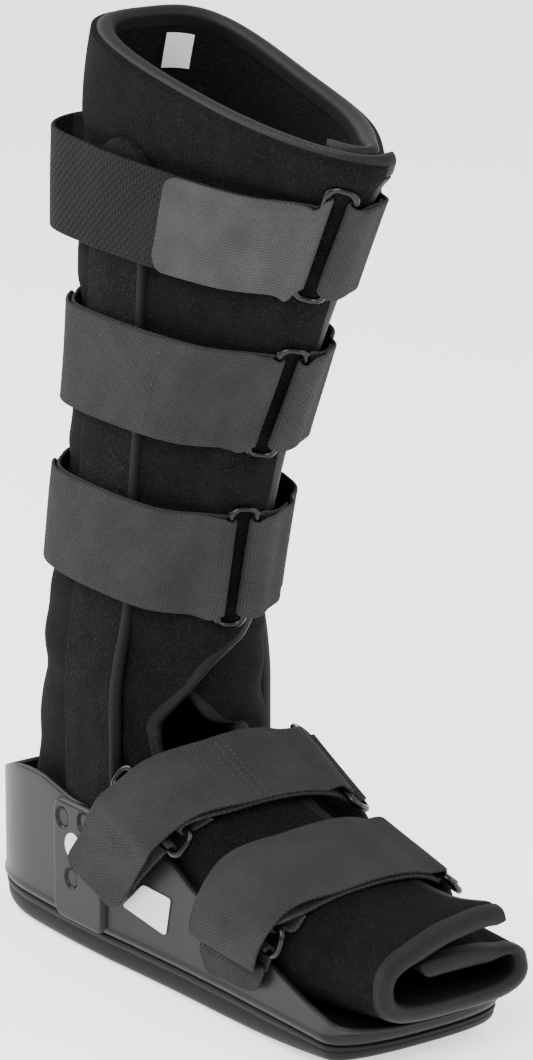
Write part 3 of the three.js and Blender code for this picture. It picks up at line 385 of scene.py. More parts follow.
class Graph:
    """A node tree with a short way to add linked nodes."""

    def __init__(self, tree: bpy.types.NodeTree) -> None:
        """Wraps a tree."""
        self.tree = tree

    def add(self, kind: str, inputs: dict | None = None, **settings: object) -> bpy.types.Node:
        """Adds a node.

        Args:
            kind: The node's type, without its ShaderNode prefix.
            inputs: A constant or a socket for each input, by name or number.
            **settings: Attributes of the node.

        Returns:
            The node.
        """
        node = self.tree.nodes.new(kind if kind.startswith("Node") else "ShaderNode" + kind)
        for name, value in settings.items():
            setattr(node, name, value)
        for key, value in (inputs or {}).items():
            if isinstance(value, bpy.types.NodeSocket):
                self.tree.links.new(value, node.inputs[key])
            else:
                node.inputs[key].default_value = value
        return node

    def math(self, operation: str, *values: object) -> bpy.types.NodeSocket:
        """A sum, product or other operation on numbers and sockets."""
        return self.add("Math", dict(enumerate(values)), operation=operation).outputs[0]

    def noise(self, place: bpy.types.NodeSocket, scale: float, detail: float) -> bpy.types.NodeSocket:
        """Fractal noise at a place."""
        node = self.add("TexNoise", {"Vector": place, "Scale": scale, "Detail": detail, "Roughness": 0.6})
        return node.outputs[0]

    def ramp(self, value: bpy.types.NodeSocket, low: float, high: float) -> bpy.types.NodeSocket:
        """A soft ramp of a value from 0 at low to 1 at high."""
        inputs = {"Value": value, "From Min": low, "From Max": high}
        return self.add("MapRange", inputs, interpolation_type="SMOOTHSTEP").outputs[0]


def pattern_group(pattern: Pattern) -> bpy.types.NodeTree:
    """The node group of a pattern, with Place and Pitch in and Tone and Height out.

    Args:
        pattern: Which surface.

    Returns:
        The group, made on its first use.
    """
    if pattern.value in bpy.data.node_groups:
        return bpy.data.node_groups[pattern.value]
    tree = bpy.data.node_groups.new(pattern.value, "ShaderNodeTree")
    tree.interface.new_socket("Place", in_out="INPUT", socket_type="NodeSocketVector")
    tree.interface.new_socket("Pitch", in_out="INPUT", socket_type="NodeSocketFloat")
    tree.interface.new_socket("Tone", in_out="OUTPUT", socket_type="NodeSocketFloat")
    tree.interface.new_socket("Height", in_out="OUTPUT", socket_type="NodeSocketFloat")
    graph = Graph(tree)
    given = graph.add("NodeGroupInput")
    pace = graph.math("DIVIDE", 1.0, given.outputs["Pitch"])
    scaled = graph.add("VectorMath", {0: given.outputs["Place"], "Scale": pace}, operation="SCALE").outputs[0]
    tone, height = PATTERN_BUILDERS[pattern](graph, scaled)
    graph.add("NodeGroupOutput", {"Tone": tone, "Height": height})
    return tree


def loops_pattern(graph: Graph, place: bpy.types.NodeSocket) -> tuple[bpy.types.NodeSocket, ...]:
    """Brushed loops: small cells, each catching the light by its own amount, under a broader mottle.

    Args:
        graph: The group's nodes.
        place: The place, in pitches.

    Returns:
        The sockets of the tone and of the height.
    """
    cells = graph.add("TexVoronoi", {"Vector": place, "Scale": 1.0}).outputs["Distance"]
    round_cells = graph.math("SUBTRACT", 1.0, cells)
    fleck = graph.ramp(graph.noise(place, 0.9, 2.0), 0.5, 0.72)
    mottle = graph.noise(place, 0.07, 3.0)
    tone = graph.math("MULTIPLY", fleck, round_cells)
    tone = graph.math("ADD", tone, graph.math("MULTIPLY", mottle, 0.35))
    height = graph.math("ADD", graph.math("MULTIPLY", round_cells, 0.6), graph.noise(place, 0.45, 3.0))
    return tone, height


def weave_pattern(graph: Graph, place: bpy.types.NodeSocket) -> tuple[bpy.types.NodeSocket, ...]:
    """Woven threads: rounded ridges that run one way and the other in turn, like a chequerboard, with painted
    shade between them.

    Args:
        graph: The group's nodes.
        place: The place, in pitches.

    Returns:
        The sockets of the tone and of the height.
    """
    split = graph.add("SeparateXYZ", {0: place})
    waves = [graph.math("SINE", graph.math("MULTIPLY", split.outputs[axis], math.pi)) for axis in (0, 1)]
    ridges = [graph.math("ABSOLUTE", wave) for wave in waves]
    turn = graph.math("GREATER_THAN", graph.math("MULTIPLY", *waves), 0.0)
    first = graph.math("MULTIPLY", ridges[0], turn)
    second = graph.math("MULTIPLY", ridges[1], graph.math("SUBTRACT", 1.0, turn))
    threads = graph.math("ADD", first, second)
    fuzz = graph.noise(place, 2.1, 3.0)
    mottle = graph.noise(place, 0.06, 3.0)
    # The threads' share of the tone paints light on their crowns and shade between them; the fuzz and the
    # mottle are the webbing's own tone.
    tone = graph.math("ADD", graph.math("MULTIPLY", threads, 0.35), graph.math("MULTIPLY", fuzz, 0.55))
    tone = graph.math("ADD", tone, graph.math("MULTIPLY", graph.math("SUBTRACT", mottle, 0.5), 0.5))
    height = graph.math("ADD", graph.math("MULTIPLY", threads, 0.6), graph.math("MULTIPLY", fuzz, 0.6))
    return tone, height


def ribs_pattern(graph: Graph, place: bpy.types.NodeSocket) -> tuple[bpy.types.NodeSocket, ...]:
    """Ribbed tape: rounded ribs side by side along the tape, with a little fluff, and painted shade in the
    grooves.

    Args:
        graph: The group's nodes.
        place: The place, in pitches.

    Returns:
        The sockets of the tone and of the height.
    """
    split = graph.add("SeparateXYZ", {0: place})
    ribs = graph.math("ABSOLUTE", graph.math("SINE", graph.math("MULTIPLY", split.outputs[0], math.pi)))
    fluff = graph.noise(place, 1.7, 2.0)
    # The tone follows the ribs: painted shade in the grooves and painted light on the crowns; the fluff is
    # the tape's own tone.
    tone = graph.math("ADD", graph.math("MULTIPLY", ribs, 0.6), graph.math("MULTIPLY", fluff, 0.4))
    return tone, graph.math("ADD", ribs, graph.math("MULTIPLY", fluff, 0.3))


def grain_pattern(graph: Graph, place: bpy.types.NodeSocket) -> tuple[bpy.types.NodeSocket, ...]:
    """Moulded grain: a fine noise, with broad faint patches in its tone.

    Args:
        graph: The group's nodes.
        place: The place, in pitches.

    Returns:
        The sockets of the tone and of the height.
    """
    fine = graph.noise(place, 1.0, 4.0)
    patches = graph.noise(place, 0.02, 3.0)
    tone = graph.math("ADD", graph.math("MULTIPLY", fine, 0.3), graph.math("MULTIPLY", patches, 0.7))
    return tone, fine


PATTERN_BUILDERS: dict[Pattern, Callable] = {
    Pattern.LOOPS: loops_pattern,
    Pattern.WEAVE: weave_pattern,
    Pattern.RIBS: ribs_pattern,
    Pattern.GRAIN: grain_pattern,
}


@dataclass(frozen=True)
class Finish:
    """A finish: two tones, mixed by its pattern, over a relief of that pattern; for the weave and the ribs
    the mix also paints shade in the hollows.

    Args:
        name: Name of the material.
        slot: Not used.
        dark: The lower tone, linear.
        light: The upper tone, linear.
        roughness: Roughness of the surface.
        pattern: The fine surface.
        pitch: Size of the pattern in millimetres.
        relief: Depth of the pattern in millimetres.
        sheen: Weight of the fibres' sheen.
        coat: Weight of a clear coat.
        specular: Level of the mirror reflection.
    """

    name: str
    slot: str
    dark: tuple[float, float, float]
    light: tuple[float, float, float]
    roughness: float
    pattern: Pattern
    pitch: float
    relief: float
    sheen: float = 0.0
    coat: float = 0.0
    specular: float = 0.06

    def material(self) -> bpy.types.Material:
        """Makes the material on its first use.

        Returns:
            The material.
        """
        if self.name in bpy.data.materials:
            return bpy.data.materials[self.name]
        material = bpy.data.materials.new(self.name)
        material.use_nodes = True
        material.node_tree.nodes.clear()
        graph = Graph(material.node_tree)
        coordinates = graph.add("TexCoord")
        flat = self.pattern in (Pattern.WEAVE, Pattern.RIBS)
        place = coordinates.outputs["UV" if flat else "Object"]
        group = graph.add("Group", node_tree=pattern_group(self.pattern))
        graph.tree.links.new(place, group.inputs["Place"])
        group.inputs["Pitch"].default_value = self.pitch * MM
        colours = {0: group.outputs["Tone"], 6: (*self.dark, 1), 7: (*self.light, 1)}
        tone = graph.add("Mix", colours, data_type="RGBA").outputs[2]
        bump = {"Height": group.outputs["Height"], "Distance": self.relief * MM, "Strength": 1.0}
        normal = graph.add("Bump", bump).outputs[0]
        surface = {
            "Base Color": tone, "Roughness": self.roughness, "Normal": normal, "Sheen Weight": self.sheen,
            "Sheen Roughness": 0.4, "Coat Weight": self.coat, "Coat Roughness": 0.08,
            "Specular IOR Level": self.specular,
        }
        shader = graph.add("BsdfPrincipled", surface)
        graph.add("OutputMaterial", {"Surface": shader.outputs[0]})
        return material

    def dress(self, piece: bpy.types.Object, *nodes: str) -> bpy.types.Object:
        """Puts the finish on a piece that stands for CAD nodes and rides with the boot.

        Args:
            piece: The piece.
            *nodes: The CAD nodes it replaces.

        Returns:
            The piece.
        """
        piece.data.materials.clear()
        piece.data.materials.append(self.material())
        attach(piece, BODY)
        if nodes:
            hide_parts(*nodes)
        LOG.info("%s: %d faces, %s", piece.name, len(piece.data.polygons), self.name)
        return piece


LOOP_FABRIC = Finish("loop fabric", "loop_fabric", (0.0012, 0.0012, 0.0013), (0.016, 0.0155, 0.016), 0.95,
                     Pattern.LOOPS, 0.9, 0.7, sheen=0.004)
SLEEVE_FABRIC = Finish("sleeve fabric", "loop_fabric", (0.0014, 0.0014, 0.0015), (0.021, 0.02, 0.021), 0.95,
                       Pattern.LOOPS, 1.05, 0.75, sheen=0.004)
TAPE = Finish("ribbed tape", "binding", (0.0014, 0.0014, 0.0014), (0.0075, 0.0072, 0.0072), 0.5,
              Pattern.RIBS, 0.9, 0.16, sheen=0.004, specular=0.14)
WEBBING = Finish("woven webbing", "webbing", (0.0025, 0.0024, 0.0024), (0.043, 0.0415, 0.041), 0.9,
                 Pattern.WEAVE, 1.25, 0.6, sheen=0.01, specular=0.1)
TAB = Finish("brushed tab", "webbing", (0.006, 0.0058, 0.0057), (0.075, 0.073, 0.072), 0.9,
             Pattern.WEAVE, 1.2, 0.5, sheen=0.015, specular=0.1)
HOOKS = Finish("hook tape", "webbing", (0.001, 0.001, 0.001), (0.016, 0.0155, 0.0155), 0.7,
               Pattern.WEAVE, 2.1, 1.0, specular=0.06)
THREAD = Finish("thread", "webbing", (0.018, 0.0175, 0.0175), (0.045, 0.044, 0.043), 0.7,
                Pattern.GRAIN, 0.4, 0.05)
MOULDED = Finish("moulded shell", "shell", (0.0055, 0.0051, 0.0048), (0.0098, 0.0091, 0.0087), 0.38,
                 Pattern.GRAIN, 0.5, 0.03, specular=0.16)
# The rivet faces are painted darker than the shell, as the shade inside their dimples.
SHADED_RIVET = Finish("rivet with painted shade", "shell", (0.002, 0.0019, 0.0018), (0.005, 0.0047, 0.0045), 0.35,
               Pattern.GRAIN, 0.5, 0.02, specular=0.16)
RUBBER = Finish("outsole rubber", "outsole", (0.0035, 0.0033, 0.0032), (0.0075, 0.0071, 0.0069), 0.55,
                Pattern.GRAIN, 0.9, 0.08, specular=0.13)
POLISHED = Finish("polished black", "ring", (0.001, 0.001, 0.001), (0.002, 0.002, 0.002), 0.22,
                  Pattern.GRAIN, 2.0, 0.01, coat=0.1, specular=0.22)
BLANK = Finish("blank label", "label", (0.55, 0.54, 0.53), (0.66, 0.65, 0.645), 0.55,
               Pattern.GRAIN, 0.8, 0.03)


@dataclass
class Skin:
    """The liner's outer face: superelliptic rows from the rim down the leg and out to the toe.

    Args:
        front_square: Squareness of a row's front half.
        rim_square: Squareness of the back half at the rim.
        ankle_square: The same at the ankle.
        sole_square: The same on the sole.
        rim_sag: How far the rim dips between back and front.
        toe_lean: How far the toe leans to the far side.
        toe_lift: How far the near flap's tip lifts at the toe.
    """

    front_square: float = 2.4
    rim_square: float = 3.4
    ankle_square: float = 2.4
    sole_square: float = 3.6
    rim_sag: float = 4.0
    toe_lean: float = 6.0
    toe_lift: float = 8.0
    rows: np.ndarray = field(init=False)
    angles: np.ndarray = field(init=False)
    names: tuple[str, ...] = ("back_y", "back_z", "front_y", "front_z", "half", "taper", "sag", "lean",
                              "loose", "square", "far", "near")

    def __post_init__(self) -> None:
        """Turns the shares of both tables into millimetres, and lays out the angles used to measure rows."""
        up, front_up, back, front, half, taper, far, near = LEG_ROWS.T
        width = 1.07 * ANKLE_ROOM + (LEG_HALF_WIDTH - 1.07 * ANKLE_ROOM) * ease(0, 0.35, up)
        none = np.zeros_like(up)
        square = self.ankle_square + (self.rim_square - self.ankle_square) * up
        leg = [back * LEG_DEPTH, ANKLE_HEIGHT + up * LEG_RISE, front * LEG_DEPTH,
               ANKLE_HEIGHT + front_up * LEG_RISE, half * width, taper, self.rim_sag * ease(0.8, 1, up), none,
               none, square, far, near]
        sole, rise, top, instep, half, taper, far, near = FOOT_ROWS.T
        square = self.sole_square + (self.ankle_square - self.sole_square) * rise
        room = np.where(sole < 0.45, ANKLE_ROOM, SHELL_ROOM)
        foot = [along_sole(sole), SOLE_REST + rise * FOOT_RISE, along_sole(top),
                SOLE_REST + instep * FOOT_RISE, half * room, taper, 0 * sole,
                self.toe_lean * ease(0.8, 1, sole), self.toe_lift * ease(0.92, 1, sole), square, far, near]
        self.rows = np.concatenate([np.stack(leg, 1), np.stack(foot, 1)])
        q = np.linspace(0, 1, 49)[:-1]
        q = q**1.7 / (q**1.7 + (1 - q) ** 1.7)
        self.angles = ((np.arange(-2, 6)[:, None] + q) * math.pi / 2).ravel()

    @property
    def ankle_place(self) -> int:
        """The place of the ankle's row."""
        return len(LEG_ROWS) - 1

    @property
    def toe_place(self) -> int:
        """The place of the last row."""
        return len(self.rows) - 1

    def read(self, place: np.ndarray) -> dict[str, np.ndarray]:
        """The columns at a place, each shaped as place."""
        values = read_rows(self.rows, place)
        return {name: values[..., k] for k, name in enumerate(self.names)}

    def point(self, place: np.ndarray, angle: np.ndarray, grow: np.ndarray) -> np.ndarray:
        """Points of the skin.

        A superellipse in the row's plane: the cosine and sine of the angle, each raised to two over the
        squareness, reach along and across the row. Growth adds to both reaches.

        Args:
            place: Row number with fractions.
            angle: Radians from the front over the far side to the back.
            grow: Millimetres outwards.

        Returns:
            Points, with the broadcast shape of the arguments and then 3.
        """
        place, angle, grow = np.broadcast_arrays(*(np.asarray(a, float) for a in (place, angle, grow)))
        row = self.read(place)
        reach_y = (row["front_y"] - row["back_y"]) / 2
        reach_z = (row["front_z"] - row["back_z"]) / 2
        reach = np.hypot(reach_y, reach_z)
        c, s = np.cos(angle), np.sin(angle)
        power = 2 / np.where(c > 0, self.front_square, row["square"])
        along = np.sign(c) * np.abs(c) ** power
        across = np.sign(s) * np.abs(s) ** power
        narrow = 1 - row["taper"] * (1 + along) / 2
        stretch = along * (reach + grow) / reach
        x = row["lean"] + across * (row["half"] * narrow + grow)
        y = (row["front_y"] + row["back_y"]) / 2 + reach_y * stretch
        z = (row["front_z"] + row["back_z"]) / 2 + reach_z * stretch - row["sag"] * (1 - along**2)
        return np.stack([x, y, z], -1)

    def layer(self, place: np.ndarray, angle: np.ndarray) -> np.ndarray:
        """How far the wrapped sheet stands off the skin: the far flap lies a layer in, the near tip lifts.

        Args:
            place: Row number with fractions.
            angle: Radians from the front over the far side to the back.

        Returns:
            Millimetres outwards, less than zero where the sheet lies under itself.
        """
        place, angle = np.broadcast_arrays(np.asarray(place, float), angle)
        row = self.read(place)
        near = np.radians(360 + row["near"])
        start = np.radians(np.maximum(row["near"], 0) + 8)
        t = np.clip((angle - start) / math.radians(60), 0, 1)
        lift = np.clip((angle - near + math.radians(70)) / math.radians(70), 0, 1)
        return row["loose"] * lift**2 * (3 - 2 * lift) - LAYER_STEP * (1 - t * t * (3 - 2 * t))

    def measured(self, place: np.ndarray) -> tuple[np.ndarray, np.ndarray, np.ndarray]:
        """Measures the wrapped sheet round each row.

        Args:
            place: Row numbers with fractions.

        Returns:
            The distance run at the measuring angles, and the distances of the far and the near edge.
        """
        grid = self.point(place[:, None], self.angles[None], self.layer(place[:, None], self.angles[None]))
        step = np.linalg.norm(np.diff(grid, axis=1), axis=-1)
        run = np.concatenate([np.zeros((len(place), 1)), np.cumsum(step, axis=1)], axis=1)
        row = self.read(place)
        ends = np.stack([np.radians(-row["far"]), np.radians(360 + row["near"])], 1)
        edge = np.stack([np.interp(e, self.angles, r) for e, r in zip(ends, run)])
        return run, edge[:, :1], edge[:, 1:]

    def angles_at(self, run: np.ndarray, distance: np.ndarray) -> np.ndarray:
        """The angles at given distances round each row."""
        return np.stack([np.interp(d, r, self.angles) for d, r in zip(distance, run)])

    def mean_run(self, place: np.ndarray) -> np.ndarray:
        """The distance run down the rows, as the mean of both sides and the back."""
        lines = self.point(place[:, None], np.radians([60, 180, 300])[None], 0.0)
        return np.mean([run_length(lines[:, k]) for k in range(3)], axis=0)

    def even_places(self, start: float, stop: float, step: float) -> np.ndarray:
        """Places that lie evenly apart, by the mean of both sides and the back.

        Args:
            start: The first place.
            stop: The last place.
            step: Millimetres between neighbours.

        Returns:
            The places.
        """
        fine = np.linspace(start, stop, 600)
        run = self.mean_run(fine)
        return np.interp(np.linspace(0, run[-1], int(run[-1] / step) + 1), run, fine)

    def leg_place(self, height: np.ndarray) -> np.ndarray:
        """The place of the leg row whose back point has a height."""
        fine = np.linspace(0, self.ankle_place, 400)
        return np.interp(-height, -self.read(fine)["back_z"], fine)

    def side_width(self, y: np.ndarray, z: np.ndarray) -> np.ndarray:
        """Half the liner's width at points of its side, found by turning height into place a few times.

        Args:
            y: Y of the points.
            z: Their heights.

        Returns:
            The half widths.
        """
        height = z
        for _ in range(8):
            row = self.read(self.leg_place(height))
            share = np.clip((row["back_y"] - y) / (row["back_y"] - row["front_y"]), 0, 1)
            height = z - (row["front_z"] - row["back_z"]) * share
        along = 2 * share - 1
        square = np.where(along > 0, self.front_square, row["square"])
        across = np.maximum(0, 1 - np.abs(along) ** square) ** (1 / square)
        return row["half"] * across * (1 - row["taper"] * share)


SKIN = Skin()


@dataclass
class Liner:
    """The padded wrap-round liner with its binding tapes and the blank tag.

    Args:
        step: Size of a face in millimetres.
        columns: Points round the padding.
        margin: Part of a row left free at the rim and at the toe.
        inset: Distance left free at both flap edges.
        press: Heights at the back of each leg strap's lower edge, where the padding is pressed in.
        puff: How far the padding stands out between the straps.
        cheek: How far the padding bulges beside the instep strap.
        tape_proud: How far a tape stands over the padding.
        tape_stop: Part of a row by which the flaps' tapes stop short of the rim and the toe.
        tag: The tag's first row and the rows it covers, then its first degree and the degrees it covers.
    """

    step: float = 2.3
    columns: int = 150
    margin: float = 0.12
    inset: float = 1.5
    press: tuple[float, ...] = (0.688, 0.445, 0.195)
    puff: float = 1.9
    cheek: float = 6.0
    tape_proud: float = 0.4
    tape_stop: float = 0.9
    tag: tuple[float, ...] = (1.08, 0.72, 153.0, 20.0)

    def fullness(self, grid: np.ndarray, place: np.ndarray, from_edge: np.ndarray) -> np.ndarray:
        """How far the padding swells: most between the straps, least at seams and inside the shell.

        Args:
            grid: Points of the skin.
            place: Row numbers, shaped as the grid.
            from_edge: Distance in from the nearest edge.

        Returns:
            Millimetres outwards.
        """
        height = np.interp(place, np.arange(len(SKIN.rows)), SKIN.rows[:, 1])
        pressed = np.zeros_like(place)
        for low in self.press:
            z = ANKLE_HEIGHT + low * LEG_RISE
            top = z + LEG_STRAP_WIDTH
            pressed = np.maximum(pressed, ease(z - 9, z + 3, height) * ease(top + 9, top - 3, height))
        pressed = pressed * (place < SKIN.ankle_place)
        swell = 0.9 + self.puff * (1 - pressed)
        wave = unevenness(grid[..., 1] / 17 + grid[..., 0] / 23, grid[..., 2] / 13, 4)
        fold = unevenness(grid[..., 0] / 40 + grid[..., 1] / 60, grid[..., 2] / 7.5, 9)
        ankle = ease(95, 120, grid[..., 2]) * ease(205, 160, grid[..., 2])
        free = ease(84, 108, grid[..., 2])
        shape = swell + 0.5 * wave * (1 - pressed) + 1.1 * fold * ankle
        side = ease(26, 38, np.abs(grid[..., 0])) * ease(-106, -86, grid[..., 1])
        side = side * ease(-20, -38, grid[..., 1])
        cheek = self.cheek * side * ease(66, 84, grid[..., 2]) * ease(124, 104, grid[..., 2])
        return (shape * free + cheek) * ease(2, 24, from_edge)

    def build(self) -> None:
        """Builds the padding, its tapes and the tag."""
        self.build_padding()
        start, stop = self.tape_stop, SKIN.toe_place - self.tape_stop
        self.build_tape("near_flap_tape", start, stop, True, "near_flap_binding")
        self.build_tape("far_flap_tape", start, stop, False, "far_flap_binding")
        self.build_rim("rim_tape", 0.0, 1.0, "rim_binding")
        self.build_rim("toe_tape", float(SKIN.toe_place), -0.9, "toe_binding")
        self.build_tag()

    def build_padding(self) -> None:
        """Builds the padding: the skin sampled at even distances, swollen, and the same face a layer in."""
        place = SKIN.even_places(self.margin, SKIN.toe_place - self.margin, self.step)
        run, start, stop = SKIN.measured(place)
        share = np.linspace(0, 1, self.columns)
        distance = start + self.inset + (stop - start - 2 * self.inset) * share
        angle = SKIN.angles_at(run, distance)
        rows = place[:, None] + 0 * angle
        layer = SKIN.layer(rows, angle)
        grid = SKIN.point(rows, angle, layer)
        from_edge = np.minimum(distance - start, stop - distance)
        swell = self.fullness(grid, rows, from_edge)
        outer = SKIN.point(rows, angle, layer + swell)
        rumple = 0.4 * unevenness(grid[..., 1] / 30, grid[..., 2] / 22, 3)
        inner = SKIN.point(rows, angle, layer - LINER_THICK + rumple)
        for edge in (np.s_[0], np.s_[-1], np.s_[:, 0], np.s_[:, -1]):
            outer[edge] = (outer[edge] + inner[edge]) / 2
        uv = np.stack([distance - start, run_length(grid[:, self.columns // 2])[:, None] + 0 * distance], -1)
        piece = slab("liner", outer, inner, uv)
        LOOP_FABRIC.dress(piece, "leg_liner", "foot_liner")

    def tape_height(self, distance: np.ndarray) -> np.ndarray:
        """Half the thickness of a tape: a round edge over the fold, a level face, and a soft inner edge."""
        full = LINER_THICK / 2 + self.tape_proud
        return full * rounding(distance, full) * (0.25 + 0.75 * rounding(TAPE_WIDTH - distance, 1.4))

    def build_tape(self, name: str, start: float, stop: float, near: bool, node: str) -> None:
        """Builds the tape folded over a flap's edge: rows across the edge, carried down the boot.

        Args:
            name: Name of the piece.
            start: Place of its upper end.
            stop: Place of its lower end.
            near: Whether it's on the near flap.
            node: The CAD node it replaces.
        """
        place = SKIN.even_places(start, stop, 1.8)
        run, far_edge, near_edge = SKIN.measured(place)
        inward = edge_steps(TAPE_WIDTH, 0.9, 1.6)[None] + 0 * far_edge
        angle = SKIN.angles_at(run, near_edge - inward if near else far_edge + inward)
        rows = place[:, None] + 0 * angle
        mid = SKIN.layer(rows, angle) - LINER_THICK / 2
        height = self.tape_height(inward)
        height[:, -1] = 0
        line = run_length(SKIN.point(place, angle[:, 4], 0.0))
        height *= rounding(np.minimum(line, line[-1] - line)[:, None], 1.5)
        uv = np.stack([line[:, None] + 0 * inward, inward], -1)
        waver = 0.25 * unevenness(line[:, None] / 9, inward / 9, 7) * (height > 1)
        outer = SKIN.point(rows, angle, mid + height + waver)
        TAPE.dress(slab(name, outer, SKIN.point(rows, angle, mid - height), uv), node)

    def build_rim(self, name: str, edge: float, reach: float, node: str) -> None:
        """Builds the tape round the rim or the toe: its whole width between both flap edges.

        Args:
            name: Name of the piece.
            edge: Place of the bound edge.
            reach: How many rows the tape covers, less than zero where it goes back up.
            node: The CAD node it replaces.
        """
        width = float(SKIN.mean_run(np.linspace(edge, edge + reach, 40))[-1])
        inward = edge_steps(width, 0.9, 1.6)
        place = edge + reach * inward / width
        run, far_edge, near_edge = SKIN.measured(place)
        share = edge_steps(float(np.mean(near_edge - far_edge)), 2.0, 4.0)
        share = share / share[-1]
        distance = far_edge + (near_edge - far_edge) * share
        angle = SKIN.angles_at(run, distance)
        rows = place[:, None] + 0 * angle
        mid = SKIN.layer(rows, angle) - LINER_THICK / 2
        full = LINER_THICK / 2 + self.tape_proud + 0.1
        height = full * rounding(inward, full) * (0.25 + 0.75 * rounding(width - inward, 1.4))
        height = height[:, None] * rounding(np.minimum(distance - far_edge, near_edge - distance), 3.5)
        height[-1] = 0
        outer = SKIN.point(rows, angle, mid + height)
        inner = SKIN.point(rows, angle, mid - height)
        uv = np.stack([distance, inward[:, None] + 0 * distance], -1)
        TAPE.dress(slab(name, outer, inner, uv), node)

    def build_tag(self) -> None:
        """Builds the blank tag inside the rim at the back: a thin slab along the liner's inner face."""
        share = edge_steps(20, 1.5, 1.0) / 20
        place = self.tag[0] + self.tag[1] * share
        angle = np.radians(self.tag[2] + self.tag[3] * share)
        rows, turn = np.meshgrid(place, angle, indexing="ij")
        base = SKIN.layer(rows, turn) - LINER_THICK - 1.2
        shape = np.pad(np.full((len(place) - 2, len(angle) - 2), 0.25), 1)
        uv = np.stack([rows * 10, turn * 50], -1)
        outer, inner = (SKIN.point(rows, turn, base + part) for part in (shape, -shape))
        BLANK.dress(slab("inner_tag_cloth", outer, inner, uv), "inner_tag")


@dataclass
class Uprights:
    """The two upright stays in padded sleeves, with a piping of tape down the front edge.

    Args:
        edge: Radius of a sleeve's soft edge.
        belly: How far the middle of a sleeve stands out.
        piping: Width of the piping.
        foot: Height of a sleeve's lower end.
        shoulder: Height at which its round top begins.
    """

    edge: float = 3.0
    belly: float = 0.9
    piping: float = 3.8
    foot: float = SOLE_REST + 4.0
    shoulder: float = UPRIGHT_TOP - UPRIGHT_WIDTH / 2

    @staticmethod
    def middle(z: np.ndarray) -> np.ndarray:
        """The Y of an upright's centre line: its table, read evenly and smoothed over a few centimetres.

        Args:
            z: Heights.

        Returns:
            The Y at each height.
        """
        fine = np.linspace(0, 1, 200)
        drift = np.interp(fine, UPRIGHT_ROWS[:, 0], UPRIGHT_ROWS[:, 1])
        weights = np.hanning(19)[1:-1]
        drift = np.convolve(np.pad(drift, 8, mode="edge"), weights / weights.sum(), "valid")
        return -LEG_DEPTH * np.interp(z / UPRIGHT_TOP, fine, drift)

    @staticmethod
    def inside(y: np.ndarray, z: np.ndarray) -> np.ndarray:
        """The distance from the middle of the boot to an upright's inner face.

        Args:
            y: Y of the points.
            z: Their heights.

        Returns:
            The distances: the shell's room at the foot, and the liner's side further up.
        """
        beside = SKIN.side_width(y, np.maximum(z, ANKLE_HEIGHT + 1)) + GAP
        seat = ANKLE_ROOM + GAP
        mixed = seat + (beside - seat) * ease(ANKLE_HEIGHT, ANKLE_HEIGHT + 60, z)
        return np.where(z > ANKLE_HEIGHT, np.maximum(mixed, beside), mixed)

    def build(self) -> None:
        """Builds both sleeves and both pipings."""
        for name, side in (("near", -1), ("far", 1)):
            self.build_sleeve(name, side)
            self.build_piping(name, side)

    def build_sleeve(self, name: str, side: int) -> None:
        """Builds a sleeve: rows across, carried up and narrowed into a round top, with soft edges.

        Args:
            name: Name of its side.
            side: The sign of its X.
        """
        half = UPRIGHT_WIDTH / 2
        foot, shoulder = self.foot, self.shoulder
        turn = np.radians(np.linspace(0, 89.5, 26))
        z = np.concatenate([foot + edge_steps(shoulder - foot, 2.2, 3.0), shoulder + half * np.sin(turn[1:])])
        reach = np.concatenate([np.full(len(z) - len(turn) + 1, half), half * np.cos(turn[1:])])
        share = edge_steps(2.0, 0.09, 0.25) - 1
        rows = z[:, None] + 0 * share
        y = self.middle(rows) + reach[:, None] * share
        from_edge = np.where(rows < shoulder, half - np.abs(y - self.middle(rows)),
                             half - np.hypot(y - self.middle(rows), rows - shoulder))
        from_edge = np.minimum(from_edge, rows - foot)
        body = rounding(from_edge, self.edge) * UPRIGHT_THICK / 2
        body[0], body[-1], body[:, 0], body[:, -1] = 0, 0, 0, 0
        rumple = 0.3 * unevenness(y / 11, rows / 16, 12) * ease(0, 8, from_edge)
        belly = self.belly * ease(0, 14, from_edge) + rumple
        inside = self.inside(y, rows) + UPRIGHT_THICK / 2
        outer = np.stack([side * (inside + body + belly), y, rows], -1)
        inner = np.stack([side * (inside - body), y, rows], -1)
        piece = slab(f"sleeve_{name}", outer, inner, np.stack([y, rows], -1))
        SLEEVE_FABRIC.dress(piece, f"upright_{name}")

    def build_piping(self, name: str, side: int) -> None:
        """Builds the piping: a narrow rounded slab down the sleeve's front edge.

        Args:
            name: Name of its side.
            side: The sign of its X.
        """
        half = UPRIGHT_WIDTH / 2
        foot, shoulder = self.foot, self.shoulder
        z = foot + edge_steps(shoulder - foot, 2.0, 2.0)
        width = edge_steps(self.piping, 0.5, 0.9)
        rows = z[:, None] + 0 * width
        y = self.middle(rows) - half + width - 0.2
        body = (UPRIGHT_THICK / 2 + 0.35) * rounding(np.minimum(width, self.piping - width), 1.9)[None]
        body = body * rounding(np.minimum(rows - foot, shoulder - rows), 2.0)
        inside = self.inside(y, rows) + UPRIGHT_THICK / 2
        outer = np.stack([side * (inside + body), y, rows], -1)
        inner = np.stack([side * (inside - body), y, rows], -1)
        uv = np.stack([rows, 0 * rows + width], -1)
        TAPE.dress(slab(f"piping_{name}", outer, inner, uv), f"upright_ribbon_{name}")


